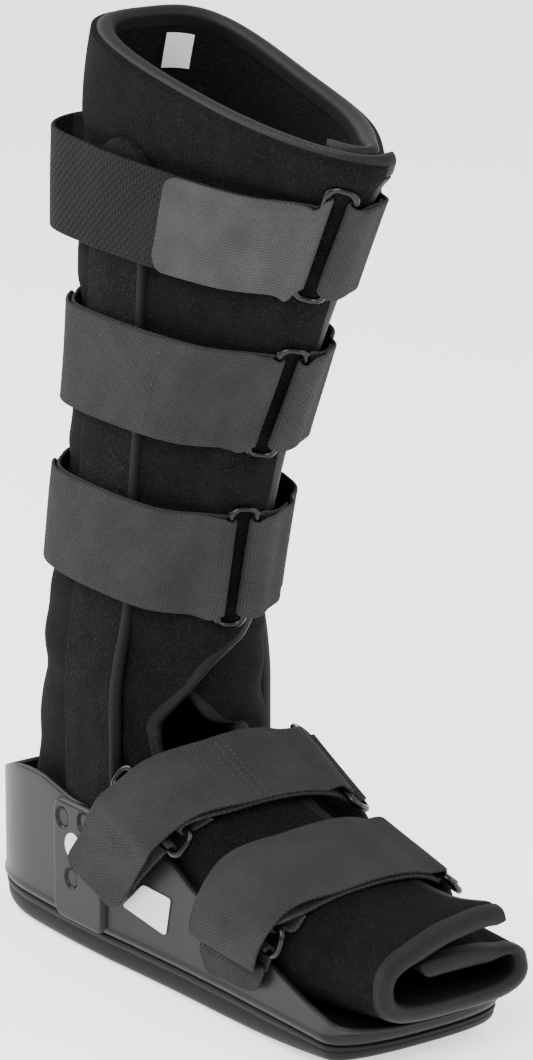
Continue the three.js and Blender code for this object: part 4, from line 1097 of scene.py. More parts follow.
@dataclass
class Wall:
    """The plan outline of the shell and the outsole, and the height of the shell's wall.

    Args:
        heel_round: Length over which the heel rounds.
        toe_round: Length over which the toe rounds.
        stations: Points down one side.
    """

    heel_round: float = 55.0
    toe_round: float = 18.0
    stations: int = 150

    @staticmethod
    def smooth(column: int, share: np.ndarray) -> np.ndarray:
        """A column of the shell's table, read along the boot and smoothed over about 15 mm.

        Args:
            column: The column's number.
            share: Shares of the way from heel to toe.

        Returns:
            The column's values there.
        """
        fine = np.linspace(0, 1, 401)
        weights = np.hanning(23)[1:-1]
        values = np.interp(fine, SHELL_ROWS[:, 0], SHELL_ROWS[:, column])
        wide = np.pad(values, 10, mode="reflect", reflect_type="odd")
        values = np.convolve(wide, weights / weights.sum(), "valid")
        return np.interp(share, fine, values)

    def half(self, y: np.ndarray) -> np.ndarray:
        """Half the shell's width at a Y, before the ends round off."""
        return SHELL_HALF_WIDTH * self.smooth(1, (HEEL_REACH - y) / SOLE_LENGTH)

    def top(self, y: np.ndarray) -> np.ndarray:
        """The height of the wall's top at a Y."""
        return PARTING + (SHELL_CUP_HEIGHT - PARTING) * self.smooth(2, (HEEL_REACH - y) / SOLE_LENGTH)

    def outline(self, grow: float, toe_grow: float, inset: float = 1.0) -> tuple[np.ndarray, ...]:
        """A plan outline from heel down the near side to the toe and back.

        Args:
            grow: Millimetres outwards all round.
            toe_grow: Millimetres further at the toe.
            inset: Share of the half width, 0 on the middle line.

        Returns:
            X, Y and the Y used to read heights.
        """
        heel, toe = HEEL_REACH + grow, TOE_Y - grow - toe_grow
        share = (1 - np.cos(np.linspace(0, math.pi, self.stations + 1))) / 2
        y = heel + (toe - heel) * share
        end = [1 - (1 - np.clip(d, 0, 1)) ** 2.5 for d in
               ((heel - y) / (self.heel_round + grow), (y - toe) / (self.toe_round + grow))]
        half = inset * (self.half(y) + grow) * (end[0] * end[1]) ** 0.4
        place = HEEL_REACH + (TOE_Y - HEEL_REACH) * share
        back = np.s_[self.stations - 1:0:-1]
        pairs = ((-half, half[back]), (y, y[back]), (place, place[back]))
        return tuple(np.concatenate(pair) for pair in pairs)


WALL = Wall()


@dataclass
class Shell:
    """The moulded shell with its two side bosses, rivets and blank labels.

    Args:
        bead: How far the bead over the parting line stands out.
        boss_width: Width of a boss.
        boss_height: Height of a boss.
        boss_back: Y of a boss's middle.
        corner: Radius of a boss's corners.
        rivets: Rivets as shares of a boss's width behind and height above its middle.
        rivet_radius: Radius of a rivet's face.
        rivet_sink: How far a rivet's rim lies under the boss's face.
        pocket: Depth of the pocket round a rivet.
        label_spot: Place of the round label, as shares of a boss.
        label_radius: Radius of the round label.
        patch_rear: The side label's rear edge, as shares along the boot at its foot and its top.
        patch_length: Its length, as shares along the boot at its foot and its top.
        patch_foot: Its lower edge's height at the rear and fall to the front, as shares of the cup's height.
        patch_top: The same for its upper edge.
    """

    bead: float = 0.7
    boss_width: float = 40.0
    boss_height: float = 58.0
    boss_back: float = 1.0
    corner: float = 6.0
    rivets: tuple = ((0.3, 0.357), (-0.15, 0.391), (0.125, -0.134))
    rivet_radius: float = 4.4
    rivet_sink: float = 1.35
    pocket: float = 1.5
    label_spot: tuple[float, float] = (0.075, 0.15)
    label_radius: float = 6.5
    patch_rear: tuple[float, float] = (0.44, 0.493)
    patch_length: tuple[float, float] = (0.11, 0.07)
    patch_foot: tuple[float, float] = (0.29, 0.078)
    patch_top: tuple[float, float] = (0.52, 0.015)

    def build(self) -> None:
        """Builds the shell, the rivets and the labels."""
        parts = [self.cup(), self.boss(-1), self.boss(1)]
        MOULDED.dress(joined("shell_body", parts), "shell")
        for name, side in (("near", -1), ("far", 1)):
            for k, spot in enumerate(self.rivets):
                y, z = self.on_boss(*spot)
                sunk = BOSS_FACE - self.rivet_sink
                disc = self.disc(f"rivet_face_{name}_{k + 1}", side, y, z, self.rivet_radius, sunk, 0.5)
                # The darker rivet finish paints the shade of each dimple.
                SHADED_RIVET.dress(disc, f"rivet_{name}_{k + 1}")
        y, z = self.on_boss(*self.label_spot)
        label = self.disc("round_label_face", -1, y, z, self.label_radius, BOSS_FACE + 0.15, 0.55)
        BLANK.dress(label, "round_label")
        BLANK.dress(self.patch(), "side_label")

    def on_boss(self, back: float, up: float) -> tuple[float, float]:
        """Y and Z of a spot given as shares of a boss."""
        return self.boss_back + back * self.boss_width, PARTING + self.boss_height * (0.5 + up)

    def cup(self) -> bpy.types.Object:
        """Makes the cup: plan outlines carried up the wall, over a round lip and down to the floor.

        Returns:
            The object.
        """
        lip = SHELL_WALL / 2
        rings = [(-10, 0.0, 0.0, 0.0), (-1.6, 0.0, 0.0, 1.0), (-0.6, 0.35, 0.0, 1.0), (0.1, 1.3, 0.0, 1.0)]
        rings += [(self.bead, 2.2, 0.0, 1.0), (self.bead, 3.4, 0.05, 1.0)]
        rings += [(0.1, 4.6, 0.1, 1.0), (0.0, 5.2, 0.12, 1.0)]
        layers = []
        for grow, rise, toe, inset in rings:
            layers.append(self.level(grow, lambda y, r=rise: PARTING + r, toe, inset))
        for share in np.linspace(0.06, 1, 16):
            height = lambda y, s=share: PARTING + 5.2 + s * (WALL.top(y) - PARTING - 5.2 - lip)
            layers.append(self.level(-0.1 * share, height, 0.12 + 0.88 * share, 1.0))
        for turn in np.radians(np.linspace(15, 165, 9)):
            height = lambda y, t=turn: WALL.top(y) - lip + lip * math.sin(t)
            layers.append(self.level(-lip - 0.1 + lip * math.cos(turn), height, 1.0, 1.0))
        for share in np.linspace(1, 0.04, 8):
            height = lambda y, s=share: SHELL_FLOOR_TOP + s * (WALL.top(y) - lip - SHELL_FLOOR_TOP)
            layers.append(self.level(-SHELL_WALL, height, share, 1.0))
        layers.append(self.level(-SHELL_WALL - 1, lambda y: SHELL_FLOOR_TOP, 0.0, 1.0))
        layers.append(self.level(-SHELL_WALL - 8, lambda y: SHELL_FLOOR_TOP, 0.0, 0.0))
        return ring_body("cup", np.stack(layers), False)

    @staticmethod
    def level(grow: float, height: Callable, flare: float, inset: float) -> np.ndarray:
        """One outline of the cup at its heights, with a share of the toe's flare."""
        x, y, place = WALL.outline(grow, SHELL_TOE_FLARE * flare, inset)
        return np.stack([x, y, height(place) + 0 * x], -1)

    def boss(self, side: int) -> bpy.types.Object:
        """Makes a boss: a plate whose height falls off at its rounded outline, with a pocket for each rivet.

        Args:
            side: The sign of its X.

        Returns:
            The object.
        """
        y = np.linspace(-self.boss_width / 2 - 1.2, self.boss_width / 2 + 1.2, 110)
        z = np.linspace(-self.boss_height / 2 - 0.2, self.boss_height / 2 + 1.2, 150)
        y, z = np.meshgrid(y, z, indexing="ij")
        over_y = np.abs(y) - self.boss_width / 2 + self.corner
        over_z = np.abs(z) - self.boss_height / 2 + self.corner
        outside = np.hypot(np.maximum(over_y, 0), np.maximum(over_z, 0))
        inside = self.corner - outside - np.minimum(np.maximum(over_y, over_z), 0)
        x = SHELL_HALF_WIDTH - 1.4 + 3.6 * rounding(inside + 1.0, 2.4)
        for back, up in self.rivets:
            reach = np.hypot(y - back * self.boss_width, z - up * self.boss_height)
            x = x - self.pocket * ease(self.rivet_radius + 1.3, self.rivet_radius + 0.1, reach)
        front = np.stack([side * x, y + self.boss_back, z + PARTING + self.boss_height / 2], -1)
        back_face = front.copy()
        back_face[..., 0] = side * (SHELL_HALF_WIDTH - 1.5)
        return slab("boss", front, back_face, np.stack([y, z], -1))

    @staticmethod
    def disc(name: str, side: int, y: float, z: float, radius: float, face: float,
             rise: float) -> bpy.types.Object:
        """A round face with a soft edge: rings from the rim to the middle.

        Args:
            name: Name of the piece.
            side: The sign of its X.
            y: Middle along the boot.
            z: Middle in height.
            radius: Radius of the face.
            face: X of its rim, before the side's sign.
            rise: How far the middle stands over the rim.

        Returns:
            The object.
        """
        turn = np.linspace(0, 2 * math.pi, 49)[:-1]
        size = np.array([0.02, 0.3, 0.6, 0.8, 0.9, 0.96, 1.0, 1.0, 0.9, 0.02])
        out = np.array([1.0, 1.0, 0.97, 0.92, 0.82, 0.6, 0.25, -0.5, -0.6, -0.6]) * rise
        reach = radius * size[:, None]
        x = side * (face + out[:, None])
        grid = np.stack(np.broadcast_arrays(x, y + reach * np.cos(turn), z + reach * np.sin(turn)), -1)
        return ring_body(name, grid, False)

    def patch(self) -> bpy.types.Object:
        """Makes the four-sided blank label on the near wall: a thin slab between its four rounded corners.

        Returns:
            The object.
        """
        t, up = np.meshgrid(edge_steps(1, 0.02, 0.08), edge_steps(1, 0.08, 0.04), indexing="ij")
        cut = 1 - np.clip(np.minimum(t, 1 - t) / 0.07, 0, 1)
        up = 0.5 + (up - 0.5) * (1 - 0.2 * (1 - np.sqrt(1 - cut**2)))
        rear, length = self.patch_rear, self.patch_length
        share = (rear[0] + length[0] * t) * (1 - up) + (rear[1] + length[1] * t) * up
        foot, top = self.patch_foot, self.patch_top
        rise = (foot[0] - foot[1] * t) * (1 - up) + (top[0] - top[1] * t) * up
        y = along_sole(share)
        z = PARTING + rise * (SHELL_CUP_HEIGHT - PARTING)
        body = np.pad(np.full((t.shape[0] - 2, t.shape[1] - 2), 0.3), 1)
        x = -(WALL.half(y) + 0.35)
        return slab("side_label_face", np.stack([x - body, y, z], -1), np.stack([x + body, y, z], -1),
                    np.stack([y, z], -1))


@dataclass
class Outsole:
    """The rubber rocker outsole.

    Args:
        bevel: How far its lower edge is drawn in.
        toe_spring: Rise of the tread at the toe.
        heel_spring: Rise of the tread at the heel.
        groove: Depth of the grooves across the tread.
        groove_pitch: Distance from groove to groove.
        edge_round: Radius of its lower edge.
        toe_break: Y ahead of which the tread rises to the toe.
        heel_break: Y behind which it rises to the heel.
    """

    bevel: float = 6.0
    toe_spring: float = 7.0
    heel_spring: float = 6.0
    groove: float = 1.6
    groove_pitch: float = 14.0
    edge_round: float = 5.0
    toe_break: float = -100.0
    heel_break: float = 50.0

    def tread(self, y: np.ndarray) -> np.ndarray:
        """The height of the tread: level under the foot, rising with the square of the way to either end.

        Args:
            y: Places along the boot.

        Returns:
            The heights.
        """
        toe = np.clip((self.toe_break - y) / (self.toe_break - TOE_Y), 0, 1)
        heel = np.clip((y - self.heel_break) / (HEEL_REACH - self.heel_break), 0, 1)
        return self.toe_spring * toe**2 + self.heel_spring * heel**2

    def build(self) -> None:
        """Builds the outsole: outlines carried from the grooved tread round its bevel and up the side."""
        layers = []
        for inset in np.linspace(0, 0.97, 9):
            depth = float(ease(0.97, 0.8, inset))
            layers.append(self.level(-self.bevel, lambda y, d=depth: self.tread(y) + d * self.cut(y), inset))
        for turn in np.radians(np.linspace(0, 90, 8)):
            radius = lambda y: np.minimum(self.edge_round, 0.6 * (OUTSOLE_HEIGHT - self.tread(y)))
            height = lambda y, t=turn: self.tread(y) + radius(y) * (1 - math.cos(t))
            layers.append(self.level(self.edge_round * math.sin(turn) - self.bevel, height, 1.0))
        side = ((-0.9, 5.2), (-1.5, 4.4), (-1.5, 3.8), (-0.8, 3.1), (-0.35, 2.2), (-0.3, 0.9), (-0.9, 0.1))
        for grow, below in side:
            room = lambda y: np.minimum(1, (OUTSOLE_HEIGHT - self.tread(y)) / 13)
            height = lambda y, b=below: OUTSOLE_HEIGHT - b * room(y)
            layers.append(self.level(grow, height, 1.0))
        layers.append(self.level(-4.0, lambda y: OUTSOLE_HEIGHT, 1.0))
        layers.append(self.level(-8.0, lambda y: OUTSOLE_HEIGHT, 0.0))
        RUBBER.dress(ring_body("outsole_body", np.stack(layers), False), "outsole")

    def cut(self, y: np.ndarray) -> np.ndarray:
        """Height of the grooves across the tread."""
        return self.groove * ease(0.7, 0.85, np.abs(((y / self.groove_pitch) % 1.0) * 2 - 1))

    @staticmethod
    def level(grow: float, height: Callable, inset: float) -> np.ndarray:
        """One outline of the outsole at its heights."""
        x, y, place = WALL.outline(grow, 0.0, inset)
        return np.stack([x, y, height(place) + 0 * x], -1)


@dataclass
class Course:
    """A strap's course, read at a place along it, a distance off the surface and a share of its width.

    Args:
        surface: The function for points, of arrays that broadcast together.
        step: A small step of the place.
        start: The first place to measure.
        stop: The last place to measure.
    """

    surface: Callable
    step: float
    start: float
    stop: float
    places: np.ndarray = field(init=False)
    run: np.ndarray = field(init=False)

    def __post_init__(self) -> None:
        """Measures the distance run along the course's middle line."""
        self.places = np.linspace(self.start, self.stop, 3000)
        self.run = run_length(self.surface(self.places, LAY_UNDER, 0.5))

    def follow(self, place: float, distance: float) -> float:
        """The place reached from another after a distance."""
        here = np.interp(place, self.places, self.run)
        return float(np.interp(here + distance, self.run, self.places))

    def rows(self, start: float, stop: float, off_start: float, off_stop: float, count: int,
             across: np.ndarray) -> np.ndarray:
        """Rows of the strap's middle surface between two places, its distance off changing evenly.

        Args:
            start: First place.
            stop: Last place.
            off_start: Distance off the surface at the first place.
            off_stop: The same at the last place.
            count: Number of rows.
            across: Shares of the width.

        Returns:
            Points as (row, column, 3).
        """
        t = np.linspace(0, 1, count)[:, None] if count > 1 else np.zeros((1, 1))
        return self.surface(start + (stop - start) * t, off_start + (off_stop - off_start) * t, across[None])


@dataclass
class Ring:
    """A ring of bar stock with rounded corners, on a strap's course.

    Args:
        name: Name of the CAD node.
        course: The course it sits on.
        place: Its place on the course.
        width: Width of the webbing through it.
    """

    name: str
    course: Course
    place: float
    width: float
    middle: np.ndarray = field(init=False)
    sideways: np.ndarray = field(init=False)
    normal: np.ndarray = field(init=False)
    tangent: np.ndarray = field(init=False)

    def __post_init__(self) -> None:
        """Finds the ring's middle and the ways along, across and out."""
        surface, step = self.course.surface, self.course.step
        self.middle = surface(self.place, LAY_BAR, 0.5)
        self.sideways = unit(surface(self.place, LAY_BAR, 1.0) - surface(self.place, LAY_BAR, 0.0))
        ahead = surface(self.place + step, LAY_BAR, 0.5) - surface(self.place - step, LAY_BAR, 0.5)
        self.normal = unit(np.cross(ahead, self.sideways))
        self.tangent = unit(np.cross(self.sideways, self.normal))

    def over(self, place: float) -> float:
        """The distance off the surface at which webbing clears the ring's bar on its outer side."""
        foot = self.course.surface(place, LAY_UNDER, 0.5)
        return float(LAY_UNDER + LOOP_RADIUS + np.dot(self.middle - foot, self.normal))

    def loop(self, turn: int, across: np.ndarray) -> np.ndarray:
        """Rows of webbing round one bar, from its inner to its outer side: a part of a circle about the bar.

        Args:
            turn: Which bar, 1 for the one behind and -1 for the one ahead.
            across: Shares of the width.

        Returns:
            Points as (row, column, 3).
        """
        bar = self.middle - self.tangent * turn * RING_SPAN / 2
        angle = np.radians(np.linspace(-76, 76, 9))[:, None, None]
        wide = self.sideways * ((across - 0.5) * self.width)[None, :, None]
        round_bar = self.tangent * turn * np.cos(angle) + self.normal * np.sin(angle)
        return bar + wide + LOOP_RADIUS * round_bar

    def build(self) -> None:
        """Builds the ring: a round bar carried along a rectangle with rounded corners."""
        run, length = RING_SPAN / 2 - RING_CORNER, self.width / 2 + GAP
        corner = np.array([[1, 1], [-1, 1], [-1, -1], [1, -1]])[:, None] * np.array([run, length])
        turn = np.radians(np.arange(4)[:, None] * 90 + np.linspace(0, 90, 10)[None])
        along, across = (corner[..., k] + 0 * turn for k in (0, 1))
        outward = np.cos(turn)[..., None] * self.tangent + np.sin(turn)[..., None] * self.sideways
        centre = self.middle + along[..., None] * self.tangent + across[..., None] * self.sideways
        centre = (centre + RING_CORNER * outward).reshape(-1, 1, 3)
        outward = outward.reshape(-1, 1, 3)
        angle = np.linspace(0, 2 * math.pi, 21)[:-1][None, :, None]
        grid = centre + RING_BAR / 2 * (np.cos(angle) * outward + np.sin(angle) * self.normal)
        POLISHED.dress(ring_body(f"{self.name}_bar", grid, True), self.name)


@dataclass
class Webbing:
    """A length of webbing: rows of its middle surface, given thickness, soft edges and stitches.

    Args:
        name: Name of the CAD node.
        rows: Points of the middle surface as (row, column, 3).
        width: Width of the webbing.
        across: Shares of the width for the columns.
        corner: Radius of the corners of its free end, 0 for a square end.
        stitches: Lines of stitches, as pairs of a distance back from the free end and a share of the width.
        zones: Finishes from the free end on, each with the distance at which it ends.
    """

    name: str
    rows: np.ndarray
    width: float
    across: np.ndarray
    corner: float = 0.0
    stitches: tuple = ()
    zones: tuple = ()

    def build(self) -> None:
        knots = run_length(self.rows[:, len(self.across) // 2])
        keep = np.concatenate([[True], np.diff(knots) > 0.4])
        at = edge_steps(float(knots[-1]), 1.8, 1.0)
        if self.corner:
            extra = knots[-1] - np.linspace(1.2, self.corner, 14)
            at = np.unique(np.concatenate([at, extra]))
        grid = carry_rows(self.rows[keep], knots[keep], at)
        left = at[-1] - at
        cut = np.clip(self.corner - left, 0, self.corner)
        inset = self.corner - np.sqrt(np.maximum(self.corner**2 - cut**2, 0))
        narrow = (1 - 2 * inset / self.width)[:, None, None]
        middle = grid[:, len(self.across) // 2][:, None]
        grid = middle + (grid - middle) * narrow
        normal = grid_normals(grid)
        lateral = np.minimum(self.across, 1 - self.across) * self.width
        body = rounding(lateral, WEBBING_THICK / 2)[None] * rounding(np.minimum(at, left), 0.9)[:, None]
        body = body[..., None] * WEBBING_THICK / 2
        waver = 0.3 * unevenness(at[:, None] / 14, self.across[None] * self.width / 14, len(self.name))
        grid = grid + normal * waver[..., None]
        uv = np.stack(np.broadcast_arrays(at[:, None], self.across[None] * self.width), -1)
        piece = slab(f"{self.name}_webbing", grid + normal * body, grid - normal * body, uv)
        WEBBING.dress(piece, self.name)
        self.paint(piece, left)
        for number, line in enumerate(self.stitches):
            self.sew(f"{self.name}_stitches_{number + 1}", grid, normal, at, np.array(line, float))

    def paint(self, piece: bpy.types.Object, left: np.ndarray) -> None:
        """Puts the zones' finishes on the faces whose rows lie in them.

        Args:
            piece: The webbing.
            left: The distance of each row from the free end.
        """
        if not self.zones:
            return
        reach = np.array([stop for _, stop in self.zones])
        row = np.repeat((left[1:] + left[:-1]) / 2, len(self.across) - 1)
        index = np.searchsorted(reach, np.concatenate([row, row]))
        for finish, _ in self.zones:
            piece.data.materials.append(finish.material())
        index = np.where(index < len(reach), index + 1, 0).astype(np.int32)
        piece.data.polygons.foreach_set("material_index", index)

    def sew(self, name: str, grid: np.ndarray, normal: np.ndarray, at: np.ndarray, line: np.ndarray) -> None:
        """Sews stitches along a line on the outer face: small rods laid end to end, as one body each.

        Args:
            name: Name of the piece.
            grid: Points of the middle surface.
            normal: Its normals.
            at: The distance of each row.
            line: Corners of the line, as distance back from the free end and share of the width.
        """
        spot = np.stack([(at[-1] - line[:, 0]), line[:, 1] * self.width], 1)
        run = run_length(spot)
        where = np.arange(1.2, run[-1], STITCH_STEP)
        half = STITCH_LENGTH / 2
        ends = [np.stack([np.interp(where + d, run, spot[:, k]) for k in (0, 1)], 1) for d in (-half, half)]
        points = [self.on_grid(grid, normal, at, end) for end in ends]
        rod_rows(name, points[0], points[1], THREAD_RADIUS)

    def on_grid(self, grid: np.ndarray, normal: np.ndarray, at: np.ndarray, spot: np.ndarray) -> np.ndarray:
        """Points just over the outer face of a strap's returning end, where the grid's normals point inward.

        Args:
            grid: Points of the middle surface.
            normal: Its normals.
            at: The distance of each row.
            spot: Pairs of a distance along the strap and one across it.

        Returns:
            The points, read between the four nearest points of the grid.
        """
        row = np.interp(spot[:, 0], at, np.arange(len(at)))
        column = np.interp(spot[:, 1] / self.width, self.across, np.arange(len(self.across)))
        raised = grid - normal * (WEBBING_THICK / 2 + 0.05)
        i, j = (np.minimum(v.astype(int), n - 2) for v, n in ((row, grid.shape[0]), (column, grid.shape[1])))
        a, b = (row - i)[:, None], (column - j)[:, None]
        low = raised[i, j] * (1 - b) + raised[i, j + 1] * b
        high = raised[i + 1, j] * (1 - b) + raised[i + 1, j + 1] * b
        return low * (1 - a) + high * a


def rod_rows(name: str, start: np.ndarray, stop: np.ndarray, radius: float) -> bpy.types.Object:
    """Small rods with soft ends between pairs of points, made as one piece of thread.

    Args:
        name: Name of the piece.
        start: One end of each rod.
        stop: The other end of each rod.
        radius: Radius of the rods.

    Returns:
        The object.
    """
    way = unit(stop - start)
    side = unit(np.cross(way, np.array([0.31, 0.17, 0.93])))
    other = np.cross(way, side)
    t = np.array([0.0, 0.08, 0.25, 0.5, 0.75, 0.92, 1.0])
    size = np.array([0.15, 0.7, 1.0, 1.05, 1.0, 0.7, 0.15]) * radius
    turn = np.linspace(0, 2 * math.pi, 9)[:-1]
    middle = start[:, None] + (stop - start)[:, None] * t[None, :, None]
    circle = np.cos(turn)[:, None] * side[:, None, None] + np.sin(turn)[:, None] * other[:, None, None]
    grid = middle[:, :, None] + circle * size[None, :, None, None]
    ring = np.arange(len(t) * len(turn)).reshape(len(t), len(turn))
    quads = quads_of(np.concatenate([ring, ring[:, :1]], axis=1))
    quads = (quads[None] + np.arange(len(start))[:, None, None] * ring.size).reshape(-1, 4)
    uv = np.zeros((len(quads), 4, 2))
    return THREAD.dress(make_object(name, grid.reshape(-1, 3), quads, uv))


@dataclass
class LegStrap:
    """A strap round the leg that folds back through its ring.

    Args:
        name: Name of the strap.
        low: Height of its lower edge at the back, as a share of the height from ankle to rim.
        ring: Degrees round from the front where the ring sits.
        tab: Degrees where the free end stops.
        slack: How far it stands away at the back, as a share of SLACK.
        stitches: Lines of stitches from the free end.
        zones: Finishes from the free end on.
    """

    name: str
    low: float
    ring: float
    tab: float
    slack: float
    stitches: tuple = ()
    zones: tuple = ()

    def surface(self, angle: np.ndarray, off: np.ndarray, w: np.ndarray) -> np.ndarray:
        """Points of the course: the skin at the strap's height, lifted over the uprights and at the back.

        Args:
            angle: Radians round the leg from the front over the far side.
            off: Distance off the surface.
            w: Share of the width from the lower edge up.

        Returns:
            Points, with the broadcast shape of the arguments and then 3.
        """
        low = ANKLE_HEIGHT + self.low * LEG_RISE
        angle, off, w = np.broadcast_arrays(*(np.asarray(a, float) for a in (angle, off, w)))
        turned = np.abs((angle + math.pi) % (2 * math.pi) - math.pi)
        over = (UPRIGHT_THICK + 2 * GAP) * ease(math.radians(36), math.radians(66), turned)
        away = ease(math.radians(110), math.radians(145), turned)
        lift = over + (BACK_LIFT + self.slack * SLACK - over) * away
        return SKIN.point(SKIN.leg_place(low + w * LEG_STRAP_WIDTH), angle, lift + off)

    def build(self) -> None:
        """Builds the strap and its ring."""
        across = edge_steps(LEG_STRAP_WIDTH, 4.5, 1.2) / LEG_STRAP_WIDTH
        course = Course(self.surface, 0.01, -1.2, 2 * math.pi + 1.2)
        start = math.radians(self.ring)
        ring = Ring(f"ring_{self.name}", course, start, LEG_STRAP_WIDTH)
        follow, rows = course.follow, course.rows
        far, near = follow(start, RING_SPAN / 2), follow(start, -RING_SPAN / 2)
        full = near + 2 * math.pi
        anchored = follow(far, LEG_RETURN + SETTLE)
        over = lambda place: ring.over(place % (2 * math.pi))
        last = math.radians(360 + self.tab)
        parts = [
            rows(follow(far, LEG_RETURN), follow(far, 1), LAY_UNDER, LAY_UNDER, 4, across),
            ring.loop(-1, across),
            rows(follow(far, 2), follow(far, SETTLE), over(follow(far, 2)), LAY_OVER, 3, across),
            rows(follow(far, LEG_RETURN + 2), anchored, LAY_OVER, LAY_UNDER, 2, across),
            rows(anchored, follow(full, -1), LAY_UNDER, LAY_UNDER, 60, across)[1:],
            ring.loop(1, across),
            rows(follow(full, -2), follow(full, -SETTLE), over(follow(full, -2)), LAY_OVER, 3, across),
            rows(follow(full, -SETTLE), last, LAY_OVER, LAY_OVER, 24, across)[1:],
        ]
        Webbing(f"strap_{self.name}", np.concatenate(parts), LEG_STRAP_WIDTH, across, STRAP_CORNER,
                self.stitches, self.zones).build()
        ring.build()


@dataclass
class FootStrap:
    """A strap over the foot that runs from ring to ring and back to the near side.

    Args:
        name: Name of the strap.
        stations: Its table of stations.
        side: Half the width of the boot where it is sewn on.
        near_ring: Place of the near ring, as a share of the way round.
        far_ring: Place of the far ring.
        stitches: Lines of stitches from the free end.
    """

    name: str
    stations: np.ndarray
    side: float
    near_ring: float
    far_ring: float
    stitches: tuple = ()

    def edge(self, t: np.ndarray, y: int, rise: int) -> np.ndarray:
        """Points of one edge of the strap, read smoothly through its stations.

        Args:
            t: Shares of the way from the free end to the far side.
            y: Column of the edge's place along the boot.
            rise: Column of its height.

        Returns:
            Points, shaped as t and then 3.
        """
        across = self.stations[:, 0] * (self.side + GAP - STRAP_CLEAR)
        points = np.stack([across, along_sole(self.stations[:, y]), self.stations[:, rise] * ANKLE_HEIGHT], 1)
        return read_rows(points, np.clip(t, 0, 1) * (len(points) - 1))

    def surface(self, t: np.ndarray, off: np.ndarray, w: np.ndarray) -> np.ndarray:
        """Points of the course: a blend of both edges, moved out along the normal of that blend.

        Args:
            t: Shares of the way from the free end to the far side.
            off: Distance off the surface.
            w: Share of the width from the front edge back.

        Returns:
            Points, with the broadcast shape of the arguments and then 3.
        """
        t, off, w = np.broadcast_arrays(*(np.asarray(a, float) for a in (t, off, w)))
        share = w[..., None]
        blend = lambda at: self.edge(at, 3, 4) * (1 - share) + self.edge(at, 1, 2) * share
        ahead = blend(t + 0.01) - blend(t - 0.01)
        aside = self.edge(t, 1, 2) - self.edge(t, 3, 4)
        return blend(t) + unit(np.cross(ahead, aside)) * off[..., None]

    def build(self) -> None:
        """Builds the strap, the two anchors that hold its rings, and the rings."""
        across = edge_steps(FOOT_STRAP_WIDTH, 4.5, 1.2) / FOOT_STRAP_WIDTH
        course = Course(self.surface, 0.002, 0.0, 1.0)
        follow, rows = course.follow, course.rows
        near = Ring(f"ring_{self.name}_near", course, self.near_ring, FOOT_STRAP_WIDTH)
        far = Ring(f"ring_{self.name}_far", course, self.far_ring, FOOT_STRAP_WIDTH)
        rise, drop = follow(self.near_ring, RING_SPAN / 2), follow(self.near_ring, -RING_SPAN / 2)
        fold, hang = follow(self.far_ring, -RING_SPAN / 2), follow(self.far_ring, RING_SPAN / 2)
        cleared, under = follow(rise, FOOT_RETURN + SETTLE), follow(drop, -SETTLE)
        top = lambda place: near.over(place) + WEBBING_THICK + LAYER_CLEAR
        parts = [
            rows(follow(rise, FOOT_RETURN), follow(rise, 1), LAY_UNDER, LAY_UNDER, 2, across),
            near.loop(-1, across),
            rows(follow(rise, 2), follow(rise, FOOT_RETURN), near.over(follow(rise, 2)), LAY_OVER, 2, across),
            rows(cleared, follow(fold, -1), LAY_UNDER, LAY_UNDER, 20, across),
            far.loop(1, across),
            rows(follow(fold, -2), follow(fold, -SETTLE), far.over(follow(fold, -2)), LAY_OVER, 2, across),
            rows(follow(fold, -SETTLE), follow(cleared, SETTLE), LAY_OVER, LAY_OVER, 16, across)[1:],
            rows(follow(rise, 5), follow(drop, -5), top(follow(rise, 5)), top(follow(drop, -5)), 3, across),
            rows(under, 0.1, LAY_OVER + 0.55 * (top(under) - LAY_OVER), LAY_OVER + 0.3, 4, across),
            rows(0.05, 0.0, LAY_OVER, LAY_OVER, 3, across),
        ]
        Webbing(f"strap_{self.name}", np.concatenate(parts), FOOT_STRAP_WIDTH, across, STRAP_CORNER,
                self.stitches).build()
        near_anchor = [rows(0.08, follow(drop, -1), LAY_UNDER, LAY_UNDER, 12, across), near.loop(1, across)]
        far_anchor = [rows(1.0, follow(hang, 1), LAY_UNDER, LAY_UNDER, 16, across), far.loop(-1, across)]
        Webbing(f"anchor_{self.name}_near", np.concatenate(near_anchor), FOOT_STRAP_WIDTH, across).build()
        Webbing(f"anchor_{self.name}_far", np.concatenate(far_anchor), FOOT_STRAP_WIDTH, across).build()
        near.build()
        far.build()


def tack_lines(start: float, apart: float, count: int) -> tuple:
    """Lines of stitches straight across a strap, from a distance back from its free end on."""
    return tuple(((start + k * apart, 0.05), (start + k * apart, 0.95)) for k in range(count))


@dataclass
class Straps:
    """The five straps with their rings.

    Args:
        leg: The straps round the leg, from the top down.
        foot: The straps over the foot, from the instep on.
    """

    leg: tuple[LegStrap, ...] = (
        LegStrap("top", 0.688, -20, -88, 1.0, (), ((TAB, 92.0), (WEBBING, 118.0), (HOOKS, 290.0))),
        LegStrap("middle", 0.445, -15, -152, 0.0, tack_lines(95, 3.0, 1)),
        LegStrap("lower", 0.195, -14, -140, 0.1, tack_lines(4, 3.0, 1)),
    )
    foot: tuple[FootStrap, ...] = (
        FootStrap("instep", INSTEP_ROWS, BOSS_FACE, 0.3, 0.72, tack_lines(106, 3.6, 5)),
        FootStrap("forefoot", FOREFOOT_ROWS, float(WALL.half(along_sole(0.75))), 0.24, 0.74, ()),
    )

    def build(self) -> None:
        """Builds every strap."""
        for strap in (*self.leg, *self.foot):
            strap.build()


